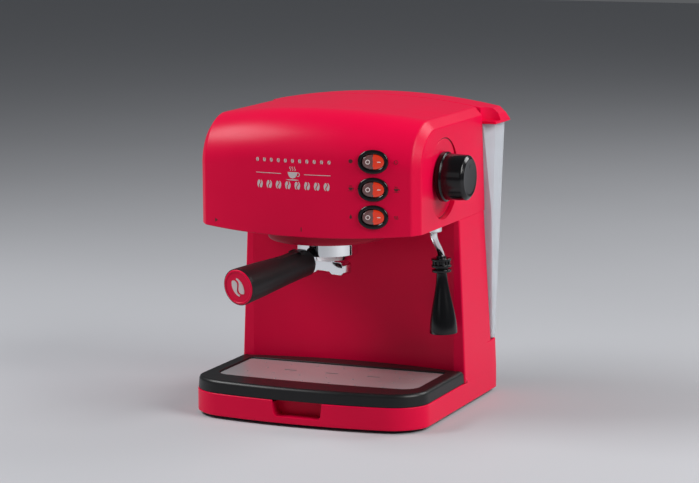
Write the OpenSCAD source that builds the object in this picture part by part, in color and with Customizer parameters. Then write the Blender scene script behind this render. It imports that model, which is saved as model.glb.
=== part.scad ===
// Pump espresso machine for a kitchen worktop.
// Built about its own centre plane (x = 0) with z = 0 at the underside of the casing, then moved by
// machine() so that the origin is the middle of the footprint, on the worktop.
// +X is the operator's right, -Y is the front, +Z is up. Millimetres.

/* [Casing] */
// Half of the width across the base
base_half_w = 119.8; // [118:0.1:124]
// Front of the base on the centre line
base_front_y = -133; // [-138:0.5:-130]
// Back of the base
base_back_y = 101.7; // [99:0.1:105]
// Radius of the two front corners of the base
base_corner_r = 33; // [28:0.5:36]
// Height of the red rim round the drip tray
base_rim_z = 22; // [20:0.5:24]
// Height of the ledge that the water tank stands on
ledge_z = 51; // [46:0.5:56]
// Wall thickness of the plastic casings
wall = 2.5; // [2:0.1:3]

/* [Head] */
// Half of the width across the head
head_half_w = 113; // [110:0.5:114]
// Underside of the head, where it meets the column
head_bottom_z = 183; // [180:0.5:186]
// Top of the head on the centre line
head_top_z = 296; // [292:0.5:300]
// Front of the head on the centre line
head_front_y = -118.2; // [-122:0.1:-116]
// Radius where the front turns into the top
head_nose_r = 45; // [38:1:48]
// Width of the bevel along the head's edges
head_bevel = 7; // [5:0.5:9]

/* [Drip tray] */
// Top of the black tray rim
tray_top_z = 34.8; // [34:0.1:37]
// Underside of the tray's well
tray_bottom_z = 8; // [8:0.5:12]
// Top of the perforated plate
grid_top_z = 33; // [32:0.5:34]
// Half of the width of the perforated plate
grid_half_w = 104; // [100:0.5:106]

/* [Group and portafilter] */
// Distance from the centre of the machine to the group's axis
group_y = -56; // [-60:0.5:-50]
// Underside of the round shroud
shroud_bottom_z = 168.8; // [168:0.1:170]
// Outer radius of the round shroud
shroud_r = 57; // [54:0.5:60]
// Outer radius of the portafilter bowl
bowl_r = 29.5; // [29:0.1:29.5]
// Underside of the portafilter bowl
bowl_bottom_z = 149.5; // [149:0.1:150]
// Angle of the handle to the operator's left, when it is locked
handle_angle = 15; // [0:1:20]
// Distance from the group's axis to the end of the handle
handle_reach = 135; // [130:1:150]
// Radius of the handle at its outer end
handle_end_r = 18; // [15:0.5:19]
// Radius of the handle where it meets the bowl
handle_root_r = 13; // [12:0.5:13]
// Downward slope of the handle
handle_slope = 5.7; // [3:0.1:6]

/* [Steam] */
// Height of the steam knob's axis
knob_z = 231; // [228:0.5:234]
// Depth position of the steam knob's axis
knob_y = -38; // [-42:0.5:-34]
// Radius of the knob's grip
knob_r = 22; // [20:0.5:23]
// How far out the knob reaches from the centre plane
knob_end_x = 140; // [136:0.5:144]
// Height of the wand's ball joint
wand_ball_z = 179; // [178:0.5:180]
// Outer radius of the steam tube
wand_r = 3.5; // [3:0.1:3.5]

/* [Water tank] */
// Half of the tank's width at its rim
tank_half_w = 122.5; // [121:0.5:124]
// Top of the tank's rim
tank_top_z = 269.6; // [265:0.1:270]
// Back of the tank at its rim
tank_back_top_y = 115.5; // [112:0.5:118]
// Back of the tank at its foot
tank_back_foot_y = 98; // [94:0.5:100]
// Wall thickness of the tank
tank_wall = 2.2; // [1.8:0.1:2.5]
// Half of the width across the lid's lower edge
lid_half_w = 127; // [125:0.5:128]

/* [Hidden] */
$fn = 64;
arc_fn = 360;                                   // for radii over 200 mm
foot_h = 3;
foot_r = 9;
foot_spots = [[-94, -94], [94, -94], [-100, 84], [100, 84]];
base_screw_spots = [[-62, -123], [62, -123], [-114, 40], [114, 40]];
screw_r = 1.5;
screw_hole_r = 1.6;
cover_screw_x = 101;
cover_screw_zs = [70, 166];
alcove_foot_z = 5;                              // foot of the column's hollowed front wall
column_front_y = 5;
alcove_depth = 12;
alcove_half_w = 107;
alcove_r = (pow(alcove_half_w, 2) + pow(alcove_depth, 2)) / (2 * alcove_depth);
alcove_y = column_front_y + alcove_depth - alcove_r;
back_top_y = 69;                                // back of the head at its upper bevel
back_seam_y = 77.5;                             // back of the casing at the head's underside
back_foot_y = 83.5;                             // back of the column above the ledge
front_arc_r = 568;
front_arc_y = base_front_y + front_arc_r;
base_corner_x = base_half_w - base_corner_r;
base_corner_y = front_arc_y - sqrt(pow(front_arc_r - base_corner_r, 2) - pow(base_corner_x, 2));
back_corner_r = 8;

// head
head_edge_z = head_top_z - 9;                   // top of the head at its bevel
head_side_z = head_edge_z - head_bevel;         // top of the flat side panel
crown_half_w = head_half_w - head_bevel;
crown_r = (pow(crown_half_w, 2) + pow(head_top_z - head_edge_z, 2)) / (2 * (head_top_z - head_edge_z));
head_side_y = -98;                              // front edge of the flat side panel
bulge_r = 451;
bulge_y = head_front_y + bulge_r;
smile = 5.3;                                    // drop of the front's lower edge at its middle
smile_r = (pow(head_half_w, 2) + pow(smile, 2)) / (2 * smile);
floor_z = head_bottom_z + 0.5;                  // underside of the head's floor
floor_t = 2.5;
head_pillars = [[-88, -90], [88, -90], [-98, -4], [98, -4]];
pillar_r = 5;
dish_r = 39;
dish_y = -37;
dish_z = 229;
dish_depth = 2.75;                              // at the dish's centre
dish_tilt = 3.3;

// switches
switch_x = 71;
switch_zs = [252, 226, 200];
switch_names = ["power", "coffee", "steam"];
switch_turn = asin(switch_x / bulge_r);
switch_y = bulge_y - bulge_r * cos(switch_turn);
rocker_r = 10.8;
rocker_h = 14.6;
rocker_tilt = 8;
rocker_pivot = 2;                               // pivot's depth behind the panel
bezel_t = 2;

// group stack
rim_z = 176;                                    // top of the portafilter's rim
basket_t = 0.8;
lug_z = 172.3;
lug_r = 34;
collar_r = 38;
groove_r = 34.6;
unlock_angle = 30;                              // from the locked place to where the lugs drop out
group_top_z = 188;
boiler_split_z = 212;
boiler_top_z = 240;
boiler_r = 38;
flange_r = 47;
handle_root = 33;                               // distance of the handle's root from the axis
handle_z = 149;                                 // height of its axis there
cap_r = 18.2;
cap_t = 3;
grip_len = handle_reach - handle_root - cap_t;
clip_at = 12;                                   // clip's pivot, along the handle from its root
clip_z = 12.2;                                  // clip's pivot above the handle's axis

// steam
valve_x = [62, 92];
knob_back_x = 112.4;
wand_x = 102;
wand_y = -36;
nut_top_z = 187;
wand_drop = [18, 29];                           // straight lower tube behind and below the ball
wand_lean = 2;
nozzle_end = 27;                                // along the straight tube
sleeve_top = 15;
sleeve_end = 74.5;

// tank
tank_foot_z = ledge_z + 1;
tank_front_gap = 1.2;
tank_foot_half_w = 119.4;
tank_corner = [[113, 70.5], [tank_half_w, 82]];
lid_z = 270;
lid_t = 2.4;
lid_back_y = 113;
lid_front_y = back_top_y + 1;
hinge_y = 119;
hinge_r = 3.2;
hinge_z = 267;
hinge_xs = [-62, 62];
socket_x = -60;
socket_y = 91.3;
valve_neck_r = 3.7;

// mains inlet
cord_x = 78;
cord_z = 24;
cord_bore_r = 3.6;

// pump
pump_y = 48;
pump_z = 62;

// the footprint's middle
handle_dir_y = cos(handle_angle) * cos(handle_slope);
handle_front_y = group_y - cos(handle_angle) * (handle_root + (grip_len + cap_t) * cos(handle_slope))
               - cap_r * sqrt(1 - pow(handle_dir_y, 2));

frame_x = (knob_end_x - lid_half_w) / 2;
frame_y = (handle_front_y + hinge_y + hinge_r) / 2;

// ---------- places and plain shapes ----------

module machine() translate([-frame_x, -frame_y, foot_h]) children();
module at(p) translate([p[0], p[1], 0]) children();
module mirrored_x() for (s = [0, 1]) mirror([s, 0, 0]) children();
module along_x() rotate([0, 90, 0]) children();
module along_y() rotate([-90, 0, 0]) children();

// a profile drawn as [y, z], made half_w wide to each side of the centre plane
module side_profile(half_w) rotate([90, 0, 90]) linear_extrude(2 * half_w, center = true) children();

// a profile drawn as [x, z], from y0 back to y1
module front_profile(y0, y1) translate([0, y1, 0]) rotate([90, 0, 0]) linear_extrude(y1 - y0) children();

// a profile drawn as [x, y], from z0 up to z1
module plan_profile(z0, z1) translate([0, 0, z0]) linear_extrude(z1 - z0) children();

module drum(r, z0, z1) translate([0, 0, z0]) cylinder(r = r, h = z1 - z0);

module ring(r_out, r_in, z0, z1) difference() {
    drum(r_out, z0, z1);
    drum(r_in, z0 - 1, z1 + 1);
}

module stadium(length, width) {
    square([length - width, width], center = true);
    for (s = [-1, 1]) translate([s * (length - width) / 2, 0]) circle(width / 2);
}

// a cap-head screw pointing up, its head's underside at z = 0
module screw(len, head_r = 3.2, head_h = 2) {
    drum(screw_r, -0.01, len);
    difference() {
        drum(head_r, -head_h, 0);
        translate([-0.5, -head_r, -head_h - 1]) cube([1, 2 * head_r, 1.8]);
    }
}

// a hose or pipe: a ring of corners at each point of a route, its corners rounded off twice
function unit(v) = v / norm(v);
function route_dir(p, i) = unit(p[min(i + 1, len(p) - 1)] - p[max(i - 1, 0)]);
function cut_corners(p) = [for (i = [0 : len(p) - 1]) each (i == 0 || i == len(p) - 1) ? [p[i]]
    : [0.75 * p[i] + 0.25 * p[i - 1], 0.75 * p[i] + 0.25 * p[i + 1]]];
module hose(route, r, sides = 8) {
    p = cut_corners(cut_corners(route));
    n = len(p);
    turn = 360 / sides;
    rings = [for (i = [0 : n - 1])
        let (d = route_dir(p, i), a = unit(cross(d, [0.31, 0.87, 0.38])), b = cross(d, a))
        for (k = [0 : sides - 1]) p[i] + r * (cos(turn * k) * a + sin(turn * k) * b)];
    skin = [for (i = [0 : n - 2], k = [0 : sides - 1])
        let (here = sides * i, next = here + sides, k2 = (k + 1) % sides)
        each [[here + k, here + k2, next + k2], [here + k, next + k2, next + k]]];
    start = [for (k = [sides - 1 : -1 : 0]) k];
    end = [for (k = [0 : sides - 1]) sides * (n - 1) + k];
    polyhedron(rings, concat([start], skin, [end]), convexity = 8);
}

// ---------- casing ----------

// the column's sloping back at a height
function back_y_at(z) = back_seam_y
    + (back_foot_y - back_seam_y) * (head_bottom_z - z) / (head_bottom_z - ledge_z);

// the base seen from above, drawn in by inset
module base_outline(inset = 0) {
    reach = base_corner_x * (1 + (base_corner_r - inset) / (front_arc_r - base_corner_r));
    intersection() {
        translate([0, front_arc_y]) circle(front_arc_r - inset, $fn = arc_fn);
        translate([-reach, base_front_y - 1]) square([2 * reach, base_corner_y - base_front_y + 1]);
    }
    for (s = [-1, 1]) {
        translate([s * base_corner_x, base_corner_y]) circle(base_corner_r - inset);
        translate([s * (base_half_w - back_corner_r), base_back_y - back_corner_r])
            circle(back_corner_r - inset);
    }
    translate([inset - base_half_w, base_corner_y])
        square([2 * (base_half_w - inset), base_back_y - back_corner_r - base_corner_y]);
    translate([back_corner_r - base_half_w, base_corner_y])
        square([2 * (base_half_w - back_corner_r), base_back_y - inset - base_corner_y]);
}

// everything in front of the column's hollowed front face, moved back by gap
module before_alcove(gap = 0) {
    intersection() {
        translate([-150, -150]) square([300, 150 + column_front_y + alcove_depth + gap]);
        union() {
            translate([0, alcove_y]) circle(alcove_r + gap, $fn = arc_fn);
            translate([-150, -150]) square([300, 150 + column_front_y + gap]);
        }
    }
}

// the column's cross-section by height, drawn in by inset
module column_solid(inset, z0, z1) {
    slope = (base_half_w - head_half_w) / (head_bottom_z - base_rim_z);
    w0 = base_half_w - inset + slope * (base_rim_z - z0);
    w1 = head_half_w - inset + slope * (head_bottom_z - z1);
    lean = (back_foot_y - back_seam_y) / (head_bottom_z - ledge_z);
    y0 = back_foot_y - inset + lean * (ledge_z - z0);
    y1 = back_seam_y - inset + lean * (head_bottom_z - z1);
    intersection() {
        front_profile(column_front_y, 120) polygon([[-w0, z0], [w0, z0], [w1, z1], [-w1, z1]]);
        side_profile(130) polygon([[column_front_y, z0], [y0, z0], [y1, z1], [column_front_y, z1]]);
    }
}

module finger_notch() front_profile(base_front_y - 1, base_front_y + 12) {
    polygon([[-26, base_rim_z + 1], [26, base_rim_z + 1], [24, 12], [-24, 12]]);
    polygon([[-24, 12.5], [24, 12.5], [19, 6.5], [-19, 6.5]]);
    for (s = [-1, 1]) translate([s * 19.6, 11]) circle(4.6);
}

module body_outer() {
    plan_profile(0, base_rim_z) base_outline();
    intersection() {
        plan_profile(base_rim_z - 1, ledge_z) base_outline();
        translate([-150, back_foot_y - 6, 0]) cube([300, 60, ledge_z]);
    }
    difference() {
        column_solid(0, base_rim_z - 1, head_bottom_z);
        plan_profile(base_rim_z, head_bottom_z + 1) before_alcove();
    }
}

module body_inner() {
    plan_profile(-1, alcove_foot_z) base_outline(wall);
    difference() {
        intersection() {
            plan_profile(0, ledge_z - wall) base_outline(wall);
            translate([-150, 0, 0]) cube([300, 130, ledge_z]);
        }
        plan_profile(-1, ledge_z) before_alcove(wall);
    }
    difference() {
        union() {
            column_solid(wall, alcove_foot_z, head_bottom_z + 0.1);
            translate([-108, back_foot_y - 14, ledge_z + 3]) cube([216, 26, head_bottom_z - ledge_z - 8]);
        }
        plan_profile(-1, head_bottom_z + 1) before_alcove(wall);
    }
    plan_profile(alcove_foot_z - 0.1, base_rim_z + 1) intersection() {
        base_outline(wall);
        before_alcove();
    }
}

module body_shell() color("crimson") machine() difference() {
    union() {
        difference() {
            body_outer();
            body_inner();
            finger_notch();
        }
        for (p = base_screw_spots) at(p) intersection() {
            drum(5, 2.2, p[1] > 0 ? 26 : 14);
            at([-p[0], -p[1]]) plan_profile(0, 40) base_outline(1);
        }
        for (z = cover_screw_zs) intersection() {
            mirrored_x() translate([96, back_y_at(z + 6) - wall - 4.3, z - 6]) cube([24, 4, 12]);
            column_solid(1, ledge_z, head_bottom_z);
        }
    }
    for (p = base_screw_spots) at(p) drum(screw_r, 0, p[1] > 0 ? 16 : 10);
    for (x = [-1, 1], z = cover_screw_zs) translate([x * cover_screw_x, 60, z]) along_y() drum(screw_r, 5, 40);
    translate([cord_x, base_back_y - 10, cord_z]) along_y() drum(6, 0, 20);
    at([socket_x, socket_y]) drum(9, ledge_z - wall - 1, ledge_z + 1);
}

module head_outline_side(inset) {
    top = head_top_z + 1 - inset;
    nose = head_nose_r - inset;
    cy = head_front_y + head_nose_r;
    cz = head_top_z + 1 - head_nose_r;
    lean = (back_seam_y - back_top_y) / (head_side_z - head_bottom_z);
    back_z = top - head_bottom_z;
    low = inset > 0 ? head_bottom_z - 20 : head_bottom_z;
    polygon([[back_seam_y - inset, low], [back_seam_y - inset - lean * back_z, top], [cy, top],
             [head_front_y + inset, cz], [head_front_y + inset, head_bottom_z - 20],
             [head_side_y - head_bevel, head_bottom_z - 20], [head_side_y - head_bevel, low]]);
    translate([cy, cz]) circle(nose);
}

module head_outline_plan(inset) intersection() {
    translate([0, bulge_y]) circle(bulge_r - inset, $fn = arc_fn);
    hw = head_half_w - inset;
    y0 = head_side_y + 0.414 * inset;
    polygon([[-hw, 120], [-hw, y0], [30 - hw, y0 - 30], [hw - 30, y0 - 30], [hw, y0], [hw, 120]]);
}

module head_outline_front(inset) {
    hw = head_half_w - inset;
    z1 = head_side_z - 0.414 * inset;
    low = inset > 0 ? head_bottom_z - 20 : head_bottom_z - 10;
    difference() {
        intersection() {
            translate([0, head_top_z - crown_r]) circle(crown_r - inset, $fn = arc_fn);
            polygon([[-hw, low], [-hw, z1], [30 - hw, z1 + 30], [hw - 30, z1 + 30], [hw, z1], [hw, low]]);
        }
        if (inset == 0) difference() {
            translate([-150, head_bottom_z - 30]) square([300, 30]);
            translate([0, head_bottom_z - smile + smile_r]) circle(smile_r, $fn = arc_fn);
        }
    }
}

module head_solid(inset = 0) intersection() {
    side_profile(130) head_outline_side(inset);
    plan_profile(140, 320) head_outline_plan(inset);
    front_profile(-130, 100) head_outline_front(inset);
}

// the round dish behind the steam knob, its floor moved inwards by extra
module knob_dish(r, extra) translate([head_half_w - dish_depth - extra, dish_y, dish_z])
    rotate([0, dish_tilt, 0]) along_x() cylinder(r = r, h = 30);

// the place of one switch: local -Y points out of the panel
module switch_place(z) translate([switch_x, switch_y, z]) rotate([0, 0, switch_turn]) children();
module switch_slab(length, width, v0, v1) translate([0, v1, 0]) rotate([90, 0, 0])
    linear_extrude(v1 - v0) stadium(length, width);

module head_shell() color("crimson") machine() difference() {
    head_solid();
    difference() {
        head_solid(wall);
        knob_dish(dish_r + wall, wall);
        for (p = head_pillars) at(p) drum(pillar_r, floor_z + floor_t, 300);
    }
    knob_dish(dish_r, 0);
    for (z = switch_zs) switch_place(z) switch_slab(25.2, 17.2, -3, 8);
    translate([90, knob_y, knob_z]) along_x() cylinder(r = 6.5, h = 40);
    for (p = head_pillars) at(p) drum(screw_r, floor_z, floor_z + 16);
}

module head_floor() color("firebrick") machine() difference() {
    union() {
        plan_profile(floor_z, floor_z + floor_t) intersection() {
            head_outline_plan(wall + 0.3);
            before_alcove(-0.1);
        }
        at([0, group_y]) drum(shroud_r, shroud_bottom_z, floor_z + 0.1);
    }
    at([0, group_y]) drum(shroud_r - wall, shroud_bottom_z + wall, floor_z + floor_t + 1);
    at([0, group_y]) drum(collar_r + 0.3, shroud_bottom_z - 1, floor_z);
    at([wand_x, wand_y]) drum(6, floor_z - 1, floor_z + floor_t + 1);
    for (p = head_pillars) at(p) drum(screw_hole_r, floor_z - 1, floor_z + floor_t + 1);
}

module rear_cover() color("dimgray") machine() difference() {
    intersection() {
        column_solid(0.1, ledge_z + 3.2, head_bottom_z - 5.2);
        translate([-107.8, 0, 0]) cube([215.6, 120, 200]);
        difference() {
            column_solid(0.1, ledge_z, head_bottom_z);
            column_solid(wall, ledge_z - 1, head_bottom_z + 1);
        }
    }
    for (i = [0 : 9]) translate([30 + 5 * i, 60, 90]) cube([2, 40, 60]);
    for (x = [-1, 1], z = cover_screw_zs) translate([x * cover_screw_x, back_y_at(z), z]) along_y() {
        drum(screw_hole_r, -9, 1);
        drum(3.5, -1.5, 4);
    }
}

module base_plate() color("dimgray") machine() difference() {
    plan_profile(0, 2) base_outline(wall + 0.2);
    for (p = base_screw_spots) at(p) drum(screw_hole_r, -1, 3);
    for (p = base_screw_spots) at(p) drum(3.5, -1, 0.8);
    for (p = foot_spots) at(p) drum(3, -1, 3);
    for (i = [-4 : 4], s = [-1, 1]) translate([9 * i - 2, 40 * s - 20, -1]) cube([4, 40, 4]);
}

module feet() color("black") machine() for (p = foot_spots) at(p) {
    drum(foot_r, -foot_h, 0);
    drum(2.95, -0.1, 3.5);
}

module base_screws() color("silver") machine() for (p = base_screw_spots) at(p)
    translate([0, 0, 0.8]) screw(p[1] > 0 ? 14 : 8, head_h = 0.8);

module head_screws() color("silver") machine() for (p = head_pillars) at(p)
    translate([0, 0, floor_z]) screw(16);

module rear_screws() color("silver") machine() for (x = [-1, 1], z = cover_screw_zs)
    translate([x * cover_screw_x, back_y_at(z) - 1.5, z]) along_y() mirror([0, 0, 1]) screw(4.5, head_h = 1.2);

// ---------- mains inlet ----------

module cord_gland() color("black") machine() translate([cord_x, base_back_y, cord_z]) along_y() {
    ring(8.5, cord_bore_r, 0, 2.4);
    ring(5.9, cord_bore_r, -wall - 0.05, 0.1);
    ring(7.5, cord_bore_r, -wall - 6, -wall - 0.05);
}

module terminal_block() color("ivory") machine() difference() {
    translate([58, 62, 2]) cube([40, 16, 14]);
    for (i = [0 : 3]) translate([63 + 10 * i, 60, 9]) along_y() drum(1.8, 0, 20);
    for (i = [0 : 3]) translate([63 + 10 * i, 70, 10]) drum(1.5, 0, 10);
}

// ---------- drip tray ----------

module tray_outline(inset) intersection() {
    base_outline(inset);
    before_alcove(-inset);
}

// the perforated plate seen from above, drawn in by inset
module grid_outline(inset) {
    hw = grid_half_w - inset;
    corner = 14;
    r = corner - inset;
    y0 = -94;
    y1 = -9;
    bow_r = 1100;
    for (s = [-1, 1]) translate([s * (grid_half_w - corner), y0 + corner]) circle(r);
    translate([-hw, y0 + corner]) square([2 * hw, y1 - inset - y0 - corner]);
    intersection() {
        translate([corner - grid_half_w, y0 - 6]) square([2 * (grid_half_w - corner), 40]);
        translate([0, y0 - 3.6 + bow_r + inset]) circle(bow_r, $fn = arc_fn);
    }
}

module drip_tray() color([0.1, 0.1, 0.1]) machine() difference() {
    union() {
        plan_profile(base_rim_z + 0.3, tray_top_z - 2.5) tray_outline(0.7);
        plan_profile(tray_top_z - 2.6, tray_top_z - 0.8) tray_outline(1.7);
        plan_profile(tray_top_z - 0.9, tray_top_z) tray_outline(3.4);
        plan_profile(tray_bottom_z, base_rim_z + 1) grid_outline(0.5);
    }
    plan_profile(grid_top_z - 2.2, tray_top_z + 1) grid_outline(-0.4);
    plan_profile(tray_bottom_z + 2, grid_top_z) grid_outline(3);
    difference() {
        plan_profile(base_rim_z - 1, tray_top_z - 4) tray_outline(3.2);
        plan_profile(0, tray_top_z) grid_outline(-2.6);
    }
    difference() {
        plan_profile(base_rim_z - 1, grid_top_z - 5) tray_outline(3.2);
        plan_profile(0, tray_top_z) grid_outline(0.5);
    }
}

module drip_grid() color("gainsboro") machine() difference() {
    plan_profile(grid_top_z - 2, grid_top_z) grid_outline(0);
    for (row = [0 : 3]) for (i = [-3 : 3])
        if (row != 2 || i < -2 || i > 1)
            translate([28 * i + (row % 2 == 0 ? 14 : 2) - 14 * (i > 2 ? 1 : 0), -88 + 22 * row])
                drum(1.3, grid_top_z - 3, grid_top_z + 1);
    for (i = [-1 : 1]) translate([44 * i, -47]) plan_profile(grid_top_z - 3, grid_top_z + 1) stadium(14, 3);
}

// ---------- water tank ----------

module tank_solid(inset, z0, z1) {
    h = tank_top_z - tank_foot_z;
    spread = (tank_half_w - tank_foot_half_w) / h;
    w0 = tank_foot_half_w + spread * (z0 - tank_foot_z) - inset;
    w1 = tank_foot_half_w + spread * (z1 - tank_foot_z) - inset;
    fall = (tank_back_top_y - tank_back_foot_y) / h;
    lean0 = (back_foot_y - back_seam_y) / (head_bottom_z - ledge_z);
    front0 = back_foot_y + tank_front_gap + inset - lean0 * (z0 - ledge_z);
    front1 = back_seam_y + tank_front_gap + inset;
    lean1 = (back_seam_y - back_top_y) / (head_side_z - head_bottom_z);
    front2 = front1 - lean1 * (z1 - head_bottom_z);
    b0 = tank_back_foot_y + fall * (z0 - tank_foot_z) - inset;
    b1 = tank_back_foot_y + fall * (z1 - tank_foot_z) - inset;
    c = inset * 1.3;
    intersection() {
        front_profile(60, 130) polygon([[-w0, z0], [w0, z0], [w1, z1], [-w1, z1]]);
        side_profile(140) polygon([[front0, z0], [b0, z0], [b1, z1], [front2, z1], [front1, head_bottom_z]]);
        plan_profile(z0, z1) polygon([
            [-tank_corner[0][0] + 24, tank_corner[0][1] - 30 + c], [-tank_corner[0][0], tank_corner[0][1] + c],
            [-tank_corner[1][0], tank_corner[1][1] + c], [-130, tank_corner[1][1] + c + 9.5], [-130, 130],
            [130, 130], [130, tank_corner[1][1] + c + 9.5], [tank_corner[1][0], tank_corner[1][1] + c],
            [tank_corner[0][0], tank_corner[0][1] + c], [tank_corner[0][0] - 24, tank_corner[0][1] - 30 + c]]);
    }
}

module water_tank() color([0.9, 0.93, 0.95, 0.5]) machine() difference() {
    union() {
        tank_solid(0, tank_foot_z, tank_top_z);
        for (x = hinge_xs) translate([x - 6, 0, 0]) {
            translate([0, hinge_y, hinge_z]) along_x() cylinder(r = hinge_r, h = 12);
            translate([0, tank_back_top_y - 2, hinge_z - hinge_r]) cube([12, hinge_y - tank_back_top_y + 2, 4]);
        }
    }
    tank_solid(tank_wall, tank_foot_z + tank_wall, tank_top_z + 1);
    for (x = hinge_xs) translate([x - 7, hinge_y, hinge_z]) along_x() cylinder(r = 1.5, h = 14);
    at([socket_x, socket_y]) drum(valve_neck_r + 0.05, tank_foot_z - 1, tank_foot_z + 5);
}

module tank_valve() color("white") machine() at([socket_x, socket_y]) difference() {
    union() {
        drum(valve_neck_r, tank_foot_z, tank_foot_z + tank_wall + 0.1);
        drum(4.2, tank_foot_z + tank_wall, tank_foot_z + 12);
        drum(2.5, ledge_z - 3, tank_foot_z + 0.1);
    }
    drum(1.4, ledge_z - 4, tank_foot_z + 8);
    for (a = [0 : 60 : 120]) rotate([0, 0, a]) translate([-7, -0.5, tank_foot_z + 4]) cube([14, 1, 3]);
}

module tank_socket() color("dimgray") machine() at([socket_x, socket_y]) difference() {
    union() {
        drum(8.8, ledge_z - wall, ledge_z);
        drum(6, ledge_z - 14, ledge_z - wall + 0.1);
    }
    drum(2.6, ledge_z - 9, ledge_z + 1);
    drum(2, ledge_z - 15, ledge_z);
}

module lid_solid(inset) {
    z0 = inset > 0 ? lid_z - 5 : lid_z;
    hw = lid_half_w - inset;
    intersection() {
        front_profile(60, 130) intersection() {
            translate([0, head_top_z - crown_r]) circle(crown_r - inset, $fn = arc_fn);
            polygon([[-hw, z0], [hw, z0], [hw, lid_z + 2], [hw - 3, lid_z + 9.6], [hw - 11, lid_z + 17.5],
                     [hw - 25, lid_z + 30], [25 - hw, lid_z + 30], [11 - hw, lid_z + 17.5],
                     [3 - hw, lid_z + 9.6], [-hw, lid_z + 2]]);
        }
        side_profile(140) {
            r = 10;
            y1 = lid_back_y - inset;
            z1 = head_top_z + 1 - inset;
            polygon([[lid_front_y + inset, z0], [y1, z0], [y1, z1 - r + inset], [y1 - r + inset, z1],
                     [lid_front_y + inset, z1]]);
            translate([y1 - r + inset, z1 - r + inset]) circle(r - inset);
        }
    }
}

module tank_lid() color("crimson") machine() difference() {
    union() {
        difference() {
            lid_solid(0);
            difference() {
                lid_solid(lid_t);
                mirrored_x() translate([lid_half_w - 28, lid_front_y, lid_z - 10]) cube([40, 24, 60]);
            }
        }
        for (x = hinge_xs, s = [-1, 1]) translate([x + s * 9 - 2.7, 0, 0]) {
            translate([0, hinge_y, hinge_z]) along_x() cylinder(r = hinge_r, h = 5.4);
            translate([0, lid_back_y - 2, lid_z]) cube([5.4, hinge_y - lid_back_y + 2 + hinge_r, 3]);
            translate([0, hinge_y - hinge_r + 0.6, hinge_z]) cube([5.4, 2 * hinge_r - 0.6, lid_z - hinge_z + 1]);
        }
    }
    mirrored_x() translate([lid_half_w, lid_front_y, lid_z + 2.5]) cylinder(r = 16, h = 60);
    for (x = hinge_xs) translate([x - 14, hinge_y, hinge_z]) along_x() cylinder(r = 1.56, h = 28);
}

module lid_hinge_pins() color("silver") machine() for (x = hinge_xs)
    translate([x - 11.6, hinge_y, hinge_z]) along_x() cylinder(r = 1.5, h = 23.2);

// ---------- switches ----------

module switch_bezels() color([0.08, 0.08, 0.08]) machine() for (z = switch_zs) switch_place(z) difference() {
    switch_slab(29, 21, -bezel_t, 0);
    switch_slab(22.6, 15.4, -bezel_t - 1, 1);
}

module switch_housings() color([0.15, 0.15, 0.15]) machine() for (z = switch_zs) switch_place(z) difference() {
    union() {
        switch_slab(25, 17, 0, 9);
        translate([-11, 8.9, -7]) cube([22, 12, 14]);
        for (i = [-1 : 1]) translate([7 * i - 0.4, 20, -2.4]) cube([0.8, 8, 4.8]);
    }
    intersection() {
        switch_slab(22.6, 15.4, -1, 14);
        translate([0, rocker_pivot, -10]) cylinder(r = 11.2, h = 20);
    }
    translate([0, rocker_pivot, -10]) cylinder(r = 0.8, h = 20);
}

module rocker_pins() color("silver") machine() for (z = switch_zs) switch_place(z)
    translate([0, rocker_pivot, -8.4]) cylinder(r = 0.8, h = 16.8);

module rocker(i) color("orangered") machine() switch_place(switch_zs[i])
    translate([0, rocker_pivot, 0]) rotate([0, 0, rocker_tilt]) difference() {
        intersection() {
            cylinder(r = rocker_r, h = rocker_h, center = true);
            switch_slab(2 * rocker_r, rocker_h, -8, 6);
            linear_extrude(rocker_h, center = true)
                polygon([[-12, 3], [-12, -5.2], [0, -3.6], [12, -5.2], [12, 3]]);
        }
        cylinder(r = 0.86, h = 20, center = true);
    }

module power_rocker() rocker(0);
module coffee_rocker() rocker(1);
module steam_rocker() rocker(2);

// ---------- steam ----------

module knob_place() translate([0, knob_y, knob_z]) along_x() children();

module steam_knob() color([0.05, 0.05, 0.05]) machine() knob_place() difference() {
    union() {
        drum(knob_r + 2, knob_back_x, knob_back_x + 5);
        drum(knob_r, knob_back_x + 4.9, knob_end_x - 3);
        drum(knob_r - 3, knob_end_x - 3.1, knob_end_x);
    }
    drum(knob_r - 3, knob_back_x - 1, knob_end_x - 8);
}

module valve_stem() color("silver") machine() knob_place() {
    drum(3, 76, knob_end_x - 8);
    drum(5, 95, 98);
}

module steam_valve() color("goldenrod") machine() difference() {
    union() {
        knob_place() drum(9, valve_x[0], valve_x[1]);
        translate([80, knob_y, 212]) drum(5, 0, 14);
        translate([67, knob_y, 236]) drum(4.5, 0, 10);
    }
    knob_place() drum(3.06, 74, valve_x[1] + 1);
    translate([80, knob_y, 211]) drum(2, 0, 17);
    translate([67, knob_y, 234]) drum(2, 0, 13);
}

module steam_pipe() color("silver") machine() hose([
    [0, group_y, boiler_top_z + 6], [0, group_y, 264], [14, group_y + 4, 276], [50, knob_y - 4, 276],
    [67, knob_y, 264], [67, knob_y, 246]], 2.5);

module wand_feed_pipe() color("silver") machine() hose([
    [80, knob_y, 212], [80, knob_y, 200], [90, -37, 194], [wand_x - 4, wand_y, 197], [wand_x - 1, wand_y, 193],
    [wand_x - 1, wand_y, nut_top_z]], 2.5);

module wand_nut() color("silver") machine() at([wand_x, wand_y]) difference() {
    union() {
        drum(8, wand_ball_z - 2, floor_z);
        drum(5.8, floor_z - 0.1, nut_top_z);
    }
    translate([0, 0, wand_ball_z]) sphere(5.1);
    drum(4.4, wand_ball_z - 6, wand_ball_z);
    drum(2, wand_ball_z, nut_top_z + 1);
}

// the wand's own place: z = 0 at the ball, leaning slightly outwards
module wand_place() translate([wand_x, wand_y, wand_ball_z]) rotate([0, -wand_lean, 0]) children();

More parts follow.
